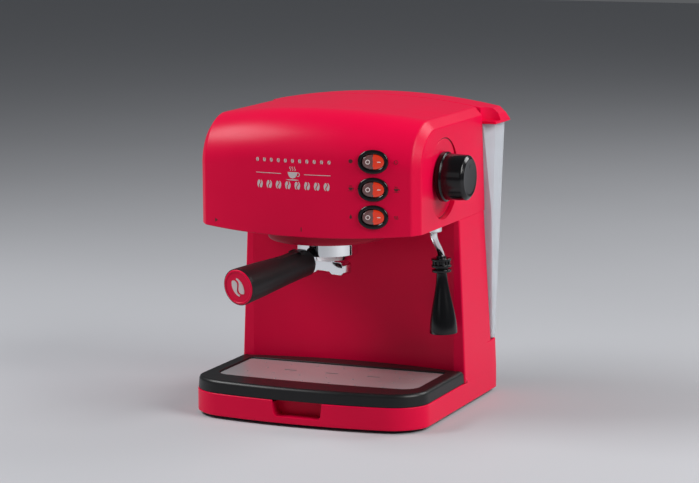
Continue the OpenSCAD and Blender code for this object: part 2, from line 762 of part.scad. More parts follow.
// along the straight lower tube: local +Z runs down it
module straight_wand() wand_place() translate([0, wand_drop[0], -wand_drop[1]]) rotate([180, 0, 0])
    children();

module wand_ball() color("silver") machine() wand_place() difference() {
    sphere(5);
    drum(wand_r, -8, -2);
}

module wand_tube() color("silver") machine() wand_place() hose([
    [0, 0, -2], [0, 0, -8], [0, wand_drop[0], 4 - wand_drop[1]],
    [0, wand_drop[0], -2 - wand_drop[1]], [0, wand_drop[0], 6 - nozzle_end - wand_drop[1]]], wand_r, 12);

module wand_nozzle() color("silver") machine() straight_wand() difference() {
    union() {
        drum(wand_r, nozzle_end - 6, nozzle_end - 2);
        translate([0, 0, nozzle_end - 2.1]) cylinder(r1 = wand_r, r2 = 2.2, h = 2.1);
    }
    drum(0.8, nozzle_end - 7, nozzle_end + 1);
}

module wand_collar() color([0.05, 0.05, 0.05]) machine() straight_wand() difference() {
    union() {
        drum(4.8, -1, 1.2);
        drum(9.7, 1.1, 3.6);
        drum(7.4, 3.5, 7.5);
        drum(9.7, 7.4, 10);
        drum(6, 9.9, 12);
        drum(9.4, 11.9, 14.8);
    }
    drum(wand_r + 0.1, -3, 16);
    for (a = [0 : 60 : 300]) rotate([0, 0, a]) translate([5.2, -1.2, 4]) cube([4, 2.4, 3]);
}

module sleeve_outline(inset) polygon([[0, sleeve_top - inset], [5.2 - inset, sleeve_top - inset],
    [5.6 - inset, sleeve_top + 8], [7.4 - inset, sleeve_top + 20], [10.6 - inset, sleeve_top + 38],
    [13 - inset, sleeve_end - 5], [13.4 - inset, sleeve_end + inset], [0, sleeve_end + inset]]);

module froth_sleeve() color([0.05, 0.05, 0.05]) machine() straight_wand() difference() {
    rotate_extrude() sleeve_outline(0);
    translate([0, 0, 1.5]) rotate_extrude() intersection() {
        sleeve_outline(1.5);
        translate([0, sleeve_top + 16]) square([40, 60]);
    }
    drum(wand_r + 0.1, sleeve_top - 2, sleeve_top + 18);
    translate([0, 0, sleeve_top + 20]) rotate([0, 90, -100]) cylinder(r = 1, h = 20);
    translate([-20, -20, sleeve_end]) rotate([0, -4, 0]) cube([60, 40, 5]);
}

// ---------- group head and boiler ----------

module brew_head() color("silver") machine() at([0, group_y]) difference() {
    drum(collar_r, shroud_bottom_z + 0.2, group_top_z);
    drum(bowl_r + 0.6, shroud_bottom_z - 1, lug_z + 1);
    drum(groove_r, lug_z - 0.4, rim_z + 0.6);
    drum(31, rim_z, group_top_z - 4);
    for (a = [0, 180]) intersection() {
        drum(groove_r, shroud_bottom_z - 1, lug_z + 1);
        rotate([0, 0, a - handle_angle - unlock_angle]) translate([0, -10, 0]) cube([60, 20, 300]);
    }
    drum(screw_r, group_top_z - 10, group_top_z + 1);
    for (a = [45 : 90 : 315]) rotate([0, 0, a]) translate([12, 0, 0]) drum(1.5, group_top_z - 10, group_top_z + 1);
}

module group_gasket() color([0.2, 0.2, 0.2]) machine() at([0, group_y])
    ring(30.8, 25.8, rim_z + 1.1, group_top_z - 4);

module shower_screen() color("silver") machine() at([0, group_y]) difference() {
    union() {
        drum(25.5, 178, 179);
        ring(25.5, 24.5, 178, group_top_z - 4);
    }
    drum(screw_hole_r, 177, 180);
    for (n = [1 : 4], k = [0 : 6 * n - 1]) rotate([0, 0, k * 60 / n]) translate([5.4 * n, 0, 0])
        drum(0.8, 177, 180);
}

module shower_screw() color("silver") machine() at([0, group_y]) translate([0, 0, 178]) screw(9, head_h = 1.2);

module boiler_base() color("silver") machine() at([0, group_y]) difference() {
    union() {
        drum(boiler_r, group_top_z, boiler_split_z);
        drum(flange_r, boiler_split_z - 5, boiler_split_z);
    }
    drum(boiler_r - 5, group_top_z + 5, boiler_split_z + 1);
    for (a = [45 : 90 : 315]) rotate([0, 0, a]) translate([12, 0, 0]) drum(1.5, group_top_z - 1, group_top_z + 6);
    for (a = [30 : 60 : 330]) rotate([0, 0, a]) translate([42.8, 0, 0]) drum(screw_r, 200, 220);
}

module boiler_top() color("silver") machine() at([0, group_y]) difference() {
    union() {
        drum(boiler_r, boiler_split_z, boiler_top_z);
        drum(flange_r, boiler_split_z, boiler_split_z + 5);
        drum(5, boiler_top_z - 1, boiler_top_z + 6);
        translate([0, 22, 0]) drum(5, boiler_top_z - 1, boiler_top_z + 6);
    }
    drum(boiler_r - 5, boiler_split_z - 1, boiler_top_z - 5);
    drum(2, 230, boiler_top_z + 8);
    translate([0, 22, 0]) drum(2, 230, boiler_top_z + 8);
    for (a = [30 : 60 : 330]) rotate([0, 0, a]) translate([42.8, 0, 0]) drum(screw_hole_r, 200, 220);
    for (s = [-1, 1]) translate([s * 9, -24, 0]) drum(3.6, 230, 245);
}

module boiler_screws() color("silver") machine() at([0, group_y]) for (a = [30 : 60 : 330])
    rotate([0, 0, a]) translate([42.8, 0, boiler_split_z + 5]) mirror([0, 0, 1]) screw(9.5);

module heating_element() color("dimgray") machine() at([0, group_y]) {
    translate([0, 0, 205]) rotate_extrude() translate([25.6, 0]) circle(3.5);
    for (s = [-1, 1]) translate([s * 9, -24, 0]) drum(3.5, 205, 252);
}

module thermostats() color("ivory") machine() for (x = [-20, 20]) at([x, group_y]) {
    drum(8, boiler_top_z, boiler_top_z + 5);
    for (s = [-1, 1]) translate([s * 4 - 1.5, -0.4, boiler_top_z + 4.9]) cube([3, 0.8, 7]);
}

module thermal_fuse() color("silver") machine() translate([-8, group_y + 12, boiler_top_z + 2.2])
    along_x() cylinder(r = 2.2, h = 16);

// ---------- pump and hoses ----------

module pump_place() translate([-30, pump_y, pump_z]) along_x() children();

module pump_coil() color("dimgray") machine() difference() {
    translate([-52, pump_y - 22, pump_z - 22]) cube([44, 44, 44]);
    pump_place() drum(9.1, -30, 30);
}

module pump_core() color("ivory") machine() pump_place() difference() {
    union() {
        drum(9, -40, 40);
        drum(4, -50, -39.9);
        drum(5, 39.9, 46);
    }
    drum(5.08, -34, 34);
    drum(2, -51, 47);
}

module pump_piston() color("silver") machine() pump_place() ring(5, 1.5, -16, 16);

module pump_bracket() color("silver") machine() difference() {
    union() {
        translate([-60, pump_y - 22, 22]) cube([60, 44, 2]);
        for (x = [-60, -2]) translate([x, pump_y - 22, 22]) cube([2, 44, pump_z - 10]);
    }
    pump_place() drum(9.1, -40, 40);
}

module pump_mounts() color("black") machine() for (x = [-50, -10]) translate([x, pump_y, 0]) {
    drum(8, 2, 22);
}

module relief_valve() color("goldenrod") machine() difference() {
    union() {
        pump_place() drum(7, 46, 66);
        translate([26, pump_y, pump_z]) drum(5, 0, 20);
    }
    pump_place() drum(2, 45, 67);
}

module suction_hose() color("white") machine() hose([
    [socket_x, socket_y, ledge_z - 14], [socket_x, socket_y, 26], [-66, 84, 16], [-80, 74, 14],
    [-96, 62, 24], [-96, pump_y, 50], [-92, pump_y, pump_z], [-80, pump_y, pump_z]], 3.5);

module pressure_hose() color("white") machine() hose([
    [36, pump_y, pump_z], [50, pump_y, pump_z], [58, 46, 84], [56, 44, 160], [44, 26, 210],
    [14, -18, 258], [0, group_y + 22, 258], [0, group_y + 22, boiler_top_z + 6]], 3);

// ---------- portafilter ----------

module group_turn() translate([0, group_y, 0]) rotate([0, 0, -handle_angle]) children();

// along the handle: local +Z runs out from the root, local +Y is up
module handle_place() group_turn() translate([0, -handle_root, handle_z])
    rotate([90 + handle_slope, 0, 0]) children();

module portafilter_bowl() color("silver") machine() difference() {
    union() {
        group_turn() {
            drum(bowl_r, bowl_bottom_z, rim_z);
            for (a = [0, 180]) intersection() {
                ring(lug_r, bowl_r - 1, lug_z, rim_z - 0.4);
                rotate([0, 0, a]) translate([0, -9, 0]) cube([60, 18, 300]);
            }
        }
        handle_place() drum(7, -8, 10);
    }
    group_turn() drum(27, bowl_bottom_z + 3, rim_z + 1);
    group_turn() drum(3, bowl_bottom_z - 1, bowl_bottom_z + 4);
    handle_place() drum(3, -1, 11);
}

module filter_basket() color("silver") machine() group_turn() difference() {
    union() {
        drum(26.8, bowl_bottom_z + 5, rim_z);
        drum(29.2, rim_z, rim_z + basket_t);
    }
    drum(26.8 - basket_t, bowl_bottom_z + 5 + basket_t, rim_z + 2);
    for (n = [1 : 4], k = [0 : 6 * n - 1]) rotate([0, 0, k * 60 / n]) translate([5.6 * n, 0, 0])
        drum(0.6, bowl_bottom_z + 4, bowl_bottom_z + 7);
}

module spout() color("silver") machine() group_turn() difference() {
    union() {
        drum(9, 144, bowl_bottom_z);
        front_profile(-7, 7) polygon([[-24, 136.5], [-22, 134.5], [-10, 134.5], [-7, 137], [7, 137],
            [10, 134.5], [22, 134.5], [24, 136.5], [24, 144], [21, 147], [-21, 147], [-24, 144]]);
    }
    drum(3, 140, bowl_bottom_z + 1);
    translate([-17, 0, 142]) along_x() cylinder(r = 2.5, h = 34);
    for (s = [-1, 1]) translate([s * 16, 0, 0]) drum(2.5, 133, 142);
}

module handle_grip() color([0.07, 0.07, 0.07]) machine() handle_place() difference() {
    union() {
        translate([0, 0, 1.5]) cylinder(r1 = handle_root_r, r2 = handle_end_r, h = grip_len - 1.5);
        cylinder(r1 = handle_root_r - 2, r2 = handle_root_r, h = 1.51);
        for (s = [-1, 1]) translate([s * 6.2 - 1.4, clip_z - 4.1, clip_at - 4]) cube([2.8, 6, 8]);
    }
    drum(7.05, -1, 10.5);
    drum(3.05, 0, 52);
    translate([-4.8, clip_z - 2.6, 1]) cube([9.6, 20, 44]);
    translate([-4.8, clip_z - 4.6, 1]) cube([9.6, 20, clip_at - 1]);
    translate([-10, clip_z, clip_at]) along_x() cylinder(r = 1.2, h = 20);
}

module handle_cap() color("crimson") machine() handle_place() drum(cap_r, grip_len, grip_len + cap_t);

module handle_stud() color("silver") machine() handle_place() drum(3, 0, 50);

module basket_clip() color([0.05, 0.05, 0.05]) machine() handle_place() difference() {
    union() {
        translate([-4.4, clip_z - 1.6, 4]) cube([8.8, 3.2, 38]);
        translate([-4.4, clip_z, clip_at]) along_x() cylinder(r = 1.9, h = 8.8);
        translate([-7.4, clip_z, clip_at]) along_x() cylinder(r = 1.14, h = 14.8);
    }
    translate([-5, clip_z + 1, 36]) cube([10, 2, 8]);
}

body_shell();
head_shell();
head_floor();
rear_cover();
base_plate();
feet();
base_screws();
head_screws();
rear_screws();
cord_gland();
terminal_block();
drip_tray();
drip_grid();
water_tank();
tank_lid();
lid_hinge_pins();
tank_valve();
tank_socket();
switch_bezels();
switch_housings();
rocker_pins();
power_rocker();
coffee_rocker();
steam_rocker();
steam_knob();
valve_stem();
steam_valve();
steam_pipe();
wand_feed_pipe();
wand_nut();
wand_ball();
wand_tube();
wand_nozzle();
wand_collar();
froth_sleeve();
brew_head();
group_gasket();
shower_screen();
shower_screw();
boiler_base();
boiler_top();
boiler_screws();
heating_element();
thermostats();
thermal_fuse();
pump_coil();
pump_core();
pump_piston();
pump_bracket();
pump_mounts();
relief_valve();
suction_hose();
pressure_hose();
portafilter_bowl();
filter_basket();
spout();
handle_grip();
handle_cap();
handle_stud();
basket_clip();
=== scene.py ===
import math

import bmesh
import bpy
from mathutils import Matrix, Vector


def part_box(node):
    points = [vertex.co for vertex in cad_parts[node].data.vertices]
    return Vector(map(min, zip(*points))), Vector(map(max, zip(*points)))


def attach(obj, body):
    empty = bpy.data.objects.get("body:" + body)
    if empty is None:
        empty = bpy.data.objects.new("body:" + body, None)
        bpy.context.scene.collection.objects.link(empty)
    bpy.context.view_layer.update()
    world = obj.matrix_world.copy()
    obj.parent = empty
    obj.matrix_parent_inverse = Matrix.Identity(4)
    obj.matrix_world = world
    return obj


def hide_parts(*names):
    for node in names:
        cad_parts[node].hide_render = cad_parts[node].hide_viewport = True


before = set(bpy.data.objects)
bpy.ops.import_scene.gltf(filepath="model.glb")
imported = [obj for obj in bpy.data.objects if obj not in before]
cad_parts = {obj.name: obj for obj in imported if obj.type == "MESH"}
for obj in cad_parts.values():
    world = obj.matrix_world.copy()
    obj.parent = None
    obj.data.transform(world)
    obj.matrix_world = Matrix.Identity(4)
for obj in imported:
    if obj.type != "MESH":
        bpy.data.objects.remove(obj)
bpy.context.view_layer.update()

# ---------- units and places ----------
# Pieces are drawn in millimetres about the machine's own centre plane: x = 0 in the middle,
# -y to the front and z = 0 at the underside of the red base. TO_FRAME takes them to the frame.
MM = 0.001
BASE_FRONT = -133.0
shell_lo, shell_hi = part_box("body_shell")
ORIGIN = Vector(((shell_lo.x + shell_hi.x) / 2, shell_lo.y - BASE_FRONT * MM, shell_lo.z))
TO_FRAME = Matrix.Translation(ORIGIN) @ Matrix.Scale(MM, 4)


def machine_box(node):
    """Lowest and highest corner of a CAD node in the machine's own millimetres."""
    return [(corner - ORIGIN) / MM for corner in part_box(node)]


def move(x, y, z):
    return Matrix.Translation((x, y, z))


def turn(degrees, axis):
    return Matrix.Rotation(math.radians(degrees), 4, axis)


# casing
BASE_W = (shell_hi.x - shell_lo.x) / 2 / MM
BASE_BACK = machine_box("body_shell")[1].y
FRONT_ARC = 568.0
CORNER = (33.0, 27.5)
BACK_CORNER = 8.0
RIM = 22.0
LEDGE = 51.0
WALL = 2.5
HEAD_LOW = machine_box("body_shell")[1].z
HEAD_W = (machine_box("head_shell")[1].x - machine_box("head_shell")[0].x) / 2
HEAD_TOP = machine_box("head_shell")[1].z
HEAD_FRONT = machine_box("head_shell")[0].y
BACK_FOOT, BACK_SEAM, BACK_TOP = 83.5, 77.5, 69.0
COLUMN_FRONT = 5.0
ALCOVE_W, ALCOVE_DEPTH = 107.0, 12.0
BEVEL = 7.0
NOSE = 45.0
CROWN_ARC = ((HEAD_W - BEVEL) ** 2 + 81) / 18
BULGE_ARC = 451.0
SMILE = HEAD_LOW - machine_box("head_shell")[0].z
SMILE_ARC = (HEAD_W ** 2 + SMILE ** 2) / (2 * SMILE)
DISH = (-37.0, 229.0)
DISH_R = 39.0
DISH_DEPTH = 2.75
DISH_TILT = math.tan(math.radians(3.3))
GROOVE_R = 38.1
SHROUD_R, SHROUD_BORE = 57.0, 38.3

# group, handle and steam
GROUP_Y = -56.0
HANDLE_TURN = 15.0
HANDLE_SLOPE = 5.7
HANDLE_ROOT, HANDLE_Z = 33.0, 149.0
KNOB = (-38.0, 231.0)
WAND_AT = (102.0, -36.0)
VALVE_AT = (-60.0, 91.3)
GROUP = move(0, GROUP_Y, 0) @ turn(-HANDLE_TURN, "Z")
HANDLE = GROUP @ move(0, -HANDLE_ROOT, HANDLE_Z) @ turn(90 + HANDLE_SLOPE, "X")
WAND = move(*WAND_AT, 179) @ turn(-2, "Y")
STRAIGHT_WAND = WAND @ move(0, 18, -29) @ turn(180, "X")
KNOB_AXIS = move(0, *KNOB) @ turn(90, "Y")


# ---------- mesh helpers ----------
def arc_drop(radius, x):
    """How far a circle of that radius has fallen away from its crown at x."""
    return radius - math.sqrt(radius * radius - x * x)


def spread(start, end, count):
    """count + 1 evenly spaced numbers from start to end."""
    return [start + (end - start) * i / count for i in range(count + 1)]


def around(sides):
    """Evenly spaced angles, once round."""
    return spread(0, 2 * math.pi, sides)[:-1]


def quarter(steps):
    """The angles of a quarter turn after its first."""
    return spread(0, math.pi / 2, steps)[1:]


def back_round(w, back, r, steps):
    """A rounded corner from the back, at y = back, to the side, at x = w."""
    return [(w - r + r * math.sin(a), back - r + r * math.cos(a)) for a in quarter(steps)]


def rounded(corners, steps=4):
    """An open outline through corners (a, b, radius), each corner with a radius turned into an arc."""
    outline = []
    for i, (a, b, radius) in enumerate(corners):
        here = Vector((a, b))
        if radius == 0 or i in (0, len(corners) - 1):
            outline.append(here)
            continue
        back = (Vector(corners[i - 1][:2]) - here).normalized()
        on = (Vector(corners[i + 1][:2]) - here).normalized()
        half = back.angle(on) / 2
        centre = here + (back + on).normalized() * radius / math.sin(half)
        start = here + back * radius / math.tan(half) - centre
        side = 1 if back.x * on.y - back.y * on.x < 0 else -1
        for k in range(steps + 1):
            outline.append(centre + Matrix.Rotation(side * (math.pi - 2 * half) * k / steps, 2) @ start)
    return outline


def mirrored(half):
    """A closed ring from its +x half, which starts and ends at x = 0."""
    return list(half) + [Vector((-p[0], p[1], p[2])) for p in reversed(half[1:-1])]


def flat(outline, z):
    return [Vector((a, b, z)) for a, b in outline]


def skin(rings, caps=True, loop=False):
    """Corners and faces of a skin stretched over rings of equally many points."""
    count = len(rings[0])
    corners = [p for ring in rings for p in ring]
    steps = len(rings) if loop else len(rings) - 1
    faces = []
    for i in range(steps):
        here, on = i * count, (i + 1) % len(rings) * count
        for j in range(count):
            k = (j + 1) % count
            faces.append((here + j, here + k, on + k, on + j))
    if caps and not loop:
        last = (len(rings) - 1) * count
        faces.append(tuple(range(count - 1, -1, -1)))
        faces.append(tuple(range(last, last + count)))
    return corners, faces


def new_object(name, corners, faces, place=Matrix()):
    """A mesh object from corners in machine millimetres."""
    whole = TO_FRAME @ place
    mesh = bpy.data.meshes.new(name)
    mesh.from_pydata([whole @ Vector(c) for c in corners], [], faces)
    made = bpy.data.objects.new(name, mesh)
    bpy.context.scene.collection.objects.link(made)
    bm = bmesh.new()
    bm.from_mesh(mesh)
    bmesh.ops.remove_doubles(bm, verts=bm.verts, dist=2e-6)
    bmesh.ops.dissolve_degenerate(bm, edges=bm.edges, dist=1e-7)
    bmesh.ops.recalc_face_normals(bm, faces=bm.faces)
    bm.to_mesh(mesh)
    bm.free()
    return made


def lathe(name, profile, place, sides=96):
    """A turned piece: profile is (radius, distance along the axis), the axis is local z."""
    rings = [[Vector((max(r, 0) * math.cos(a), max(r, 0) * math.sin(a), t))
              for a in around(sides)] for r, t in profile]
    closed = (Vector(profile[0]) - Vector(profile[-1])).length < 1e-6
    return new_object(name, *skin(rings, caps=not closed), place)


def prism(name, outline, low, high, place=Matrix()):
    """A closed outline of (a, b) points, drawn out along local z."""
    return new_object(name, *skin([flat(outline, low), flat(outline, high)]), place)


def pin(radius, low, high, place, sides=96):
    """A plain round cutter along local z."""
    return lathe("pin", [(radius, low), (radius, high)], place, sides)


def tube(name, route, radius, place):
    """A round tube along a route whose corners are cut three times."""
    path = [Vector(p) for p in route]
    for _ in range(3):
        cut_path = [path[0]]
        for a, b in zip(path, path[1:]):
            cut_path += [a.lerp(b, 0.25), a.lerp(b, 0.75)]
        path = cut_path + [path[-1]]
    side = Vector((0, 1, 0)).cross(path[1] - path[0]).normalized()
    rings = []
    for i, p in enumerate(path):
        along = (path[min(i + 1, len(path) - 1)] - path[max(i - 1, 0)]).normalized()
        side = (side - along * side.dot(along)).normalized()
        up = along.cross(side)
        rings.append([p + radius * (math.cos(a) * side + math.sin(a) * up)
                      for a in around(24)])
    return new_object(name, *skin(rings), place)


def take_result(made):
    """Makes the modifiers' result the object's own mesh."""
    bpy.context.view_layer.update()
    shown = made.evaluated_get(bpy.context.evaluated_depsgraph_get())
    made.data = bpy.data.meshes.new_from_object(shown)
    made.modifiers.clear()


def cut(made, *cutters):
    """Takes the cutters out of a piece."""
    for cutter in cutters:
        step = made.modifiers.new("cut", "BOOLEAN")
        step.object = cutter
        step.solver = "EXACT"
        take_result(made)
        bpy.data.objects.remove(cutter)
    return made


def joined(name, *parts):
    """One object from several, which keep their own skins."""
    bm = bmesh.new()
    for part in parts:
        bm.from_mesh(part.data)
    mesh = bpy.data.meshes.new(name)
    bm.to_mesh(mesh)
    bm.free()
    for part in parts:
        bpy.data.objects.remove(part)
    made = bpy.data.objects.new(name, mesh)
    bpy.context.scene.collection.objects.link(made)
    return made


def soften(made, width, where=None, angle=40, steps=3):
    """Rounds the edges sharper than angle whose ends both pass where, given in machine millimetres."""
    bm = bmesh.new()
    bm.from_mesh(made.data)
    bmesh.ops.remove_doubles(bm, verts=bm.verts, dist=2e-6)
    limit = math.radians(angle)
    picked = []
    for edge in bm.edges:
        if not edge.is_manifold or edge.calc_face_angle(0) < limit:
            continue
        ends = [(v.co - ORIGIN) / MM for v in edge.verts]
        if where is None or all(where(p) for p in ends):
            picked.append(edge)
    bmesh.ops.bevel(bm, geom=picked, offset=width * MM, segments=steps, profile=0.5,
                    affect="EDGES", clamp_overlap=True)
    bm.to_mesh(made.data)
    bm.free()
    return made


def finish_piece(made, body, material, slot, *nodes, sharp=35):
    """Shades a piece, gives it its material and ties it to its body and the CAD nodes it stands for."""
    for face in made.data.polygons:
        face.use_smooth = True
    made.data.set_sharp_from_angle(angle=math.radians(sharp))
    weighted = made.modifiers.new("normals", "WEIGHTED_NORMAL")
    weighted.keep_sharp = True
    if not made.data.materials:
        made.data.materials.append(material)
    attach(made, body)
    if nodes:
        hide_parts(*nodes)
    return made


# ---------- materials ----------
def surface(name, colour, rough, shade=0.86, patch=30.0, rough_vary=0.08, grain=0.0, grain_scale=1800.0,
            stretch=(1, 1, 1), **inputs):
    """A procedural finish: colour and roughness drift softly over the piece, and grain raises it finely."""
    material = bpy.data.materials.new(name)
    material.use_nodes = True
    nodes, links = material.node_tree.nodes, material.node_tree.links
    shader = nodes["Principled BSDF"]
    for socket, value in inputs.items():
        shader.inputs[socket.replace("_", " ")].default_value = value
    places = nodes.new("ShaderNodeTexCoord")
    scaled = nodes.new("ShaderNodeMapping")
    scaled.inputs["Scale"].default_value = stretch
    links.new(places.outputs["Object"], scaled.inputs["Vector"])
    cloud = nodes.new("ShaderNodeTexNoise")
    cloud.inputs["Scale"].default_value = patch
    cloud.inputs["Detail"].default_value = 4
    links.new(scaled.outputs["Vector"], cloud.inputs["Vector"])
    tint = nodes.new("ShaderNodeMix")
    tint.data_type = "RGBA"
    tint.inputs["A"].default_value = (*[c * shade for c in colour], 1)
    tint.inputs["B"].default_value = (*colour, 1)
    links.new(cloud.outputs["Fac"], tint.inputs["Factor"])
    links.new(tint.outputs["Result"], shader.inputs["Base Color"])
    fine = nodes.new("ShaderNodeTexNoise")
    fine.inputs["Scale"].default_value = grain_scale
    fine.inputs["Detail"].default_value = 2
    links.new(scaled.outputs["Vector"], fine.inputs["Vector"])
    roughness = nodes.new("ShaderNodeMapRange")
    roughness.inputs["To Min"].default_value = max(rough - rough_vary, 0.02)
    roughness.inputs["To Max"].default_value = rough + rough_vary
    blended = nodes.new("ShaderNodeMix")
    blended.inputs["Factor"].default_value = 0.35
    links.new(cloud.outputs["Fac"], blended.inputs["A"])
    links.new(fine.outputs["Fac"], blended.inputs["B"])
    links.new(blended.outputs["Result"], roughness.inputs["Value"])
    links.new(roughness.outputs["Result"], shader.inputs["Roughness"])
    if grain:
        bump = nodes.new("ShaderNodeBump")
        bump.inputs["Strength"].default_value = grain
        bump.inputs["Distance"].default_value = 0.0001
        links.new(fine.outputs["Fac"], bump.inputs["Height"])
        links.new(bump.outputs["Normal"], shader.inputs["Normal"])
    return material


RED = surface("red_moulding", (0.76, 0.0015, 0.050), 0.34, shade=0.94, grain=0.10, Specular_IOR_Level=0.14)
# A darker copy of the red moulding: painted shade for the head's underside, where the head's overhang shades
# it.
SHADED_RED = surface("red_floor_painted_shade", (0.50, 0.001, 0.030), 0.45, shade=0.9, grain=0.12, Specular_IOR_Level=0.25)
BLACK_SATIN = surface("black_satin", (0.009, 0.009, 0.010), 0.38, shade=0.8, grain=0.22, grain_scale=2600,
                      Specular_IOR_Level=0.35)
BLACK_GLOSS = surface("black_gloss", (0.004, 0.004, 0.005), 0.16, rough_vary=0.05, grain=0.03,
                      Specular_IOR_Level=0.4)
BLACK_LEVER = surface("black_lever", (0.010, 0.010, 0.011), 0.30, grain=0.10)
DARK_PLASTIC = surface("dark_plastic", (0.030, 0.030, 0.033), 0.5, grain=0.2)
RUBBER = surface("rubber", (0.018, 0.018, 0.018), 0.75, grain=0.35, grain_scale=1200)
PLATE = surface("brushed_plate", (0.66, 0.68, 0.70), 0.46, shade=0.94, patch=20, stretch=(0.04, 1, 1),
                grain=0.12, grain_scale=2400, Metallic=0.85)
CHROME = surface("chrome", (0.86, 0.87, 0.89), 0.07, shade=0.97, rough_vary=0.03, Metallic=1.0)
STEEL = surface("steel", (0.62, 0.62, 0.63), 0.28, grain=0.05, Metallic=1.0)
ALUMINIUM = surface("cast_aluminium", (0.66, 0.67, 0.68), 0.45, grain=0.4, grain_scale=900, Metallic=1.0)
BRASS = surface("brass", (0.72, 0.50, 0.20), 0.3, grain=0.1, Metallic=1.0)
WHITE_PLASTIC = surface("white_plastic", (0.75, 0.74, 0.70), 0.45, grain=0.15)
SILICONE = surface("silicone", (0.80, 0.80, 0.78), 0.5, grain=0.1, Transmission_Weight=0.4)
COIL = surface("coil_wrap", (0.05, 0.09, 0.14), 0.5, grain=0.5, grain_scale=700, stretch=(6, 1, 1))
TANK = surface("tank_plastic", (0.86, 0.90, 0.96), 0.22, shade=0.97, rough_vary=0.05, grain=0.04,
               Transmission_Weight=0.55, IOR=1.35)
WATER = surface("water", (0.80, 0.88, 0.95), 0.04, shade=0.98, rough_vary=0.01, Transmission_Weight=0.9,
                IOR=1.33)
LIT_RED = surface("rocker_lit", (0.48, 0.012, 0.003), 0.18, shade=0.55, patch=260, Coat_Weight=0.8,
                  Coat_Roughness=0.05, Emission_Color=(1.0, 0.06, 0.01, 1), Emission_Strength=0.35)
CLEAR = surface("rocker_clear", (0.17, 0.075, 0.075), 0.2, shade=0.7, patch=220, Coat_Weight=0.8,
                Coat_Roughness=0.05)
SILVER_PRINT = surface("silver_print", (0.70, 0.62, 0.62), 0.38, shade=0.9, Metallic=0.3)
# Dark colour of the printed switch symbols; also painted shade on the ring in the dish's groove.
DARK_PRINT_AND_SHADE = surface("dark_print_and_painted_shade", (0.10, 0.008, 0.012), 0.45)
MARK = surface("rocker_mark", (0.85, 0.72, 0.70), 0.35)


# ---------- head ----------
def crown(x):
    return HEAD_TOP - arc_drop(CROWN_ARC, x)


def bulge(x):
    return HEAD_FRONT + arc_drop(BULGE_ARC, x)


def head_back(z):
    return BACK_SEAM - (BACK_SEAM - BACK_TOP) * (z - HEAD_LOW) / (HEAD_TOP - 16 - HEAD_LOW)


def head_section(x, inset):
    """The head cut across at x: up the front, over the nose, down the back and along the open underside."""
    front, top, nose = bulge(x) + inset, crown(x) - inset, NOSE - inset
    low = HEAD_LOW - SMILE + arc_drop(SMILE_ARC, x)
    ceiling = HEAD_LOW + (2.0 if abs(x) < HEAD_W - WALL else 0)
    back_top, back_low = head_back(top), head_back(HEAD_LOW)
    outline = rounded([(front + WALL, low, 0), (front, low, 0.9), (front, low + 5, 0)])
    outline += [(front, z) for z in spread(low + 5, top - nose, 12)[1:-1]]
    outline += [(front + nose - nose * math.cos(a), top - nose + nose * math.sin(a))
                for a in spread(0, math.pi / 2, 20)]
    outline += [(y, top) for y in spread(front + nose, back_top - 2, 16)[1:]]
    outline += rounded([(back_top - 2, top, 0), (back_top, top, 0.8), (head_back(top - 4), top - 4, 0)])[1:]
    outline += [(head_back(z), z) for z in spread(top - 4, HEAD_LOW + 3, 14)[1:]]
    outline += rounded([(head_back(HEAD_LOW + 3), HEAD_LOW + 3, 0), (back_low, HEAD_LOW, 0.8),
                        (back_low - WALL, HEAD_LOW, 0)])[1:]
    outline += [(y, ceiling) for y in spread(back_low - WALL, front + WALL, 20)]
    return [Vector((x, y, z)) for y, z in outline]


def oval(half_a, half_b, power=2.0, count=72):
    """A rounded outline between an ellipse (power 2) and a rectangle."""
    points = []
    for angle in around(count):
        c, s = math.cos(angle), math.sin(angle)
        points.append((half_a * math.copysign(abs(c) ** (2 / power), c),
                       half_b * math.copysign(abs(s) ** (2 / power), s)))
    return points


SWITCH_X = 71.0
SWITCH_ZS = (252.0, 226.0, 200.0)
SWITCH_NAMES = ("power", "coffee", "steam")
SWITCH_HOLE = (12.9, 8.9)
BEZEL = (14.5, 11.3)
KEY = (10.2, 6.9)
SWITCH_TURN = math.degrees(math.asin(SWITCH_X / BULGE_ARC))


def switch_place(z):
    """The place of one switch: local x and y lie in the panel and local z points out of it."""
    return move(SWITCH_X, bulge(SWITCH_X), z) @ turn(SWITCH_TURN, "Z") @ turn(90, "X")


def dish_point(radius, angle, share, extra):
    """A point on the dish round the steam knob: share of its depth, and extra depth below that."""
    floor = DISH_DEPTH - DISH_TILT * radius * math.sin(angle)
    return Vector((HEAD_W - share * floor - extra, DISH[0] + radius * math.cos(angle),
                   DISH[1] + radius * math.sin(angle)))


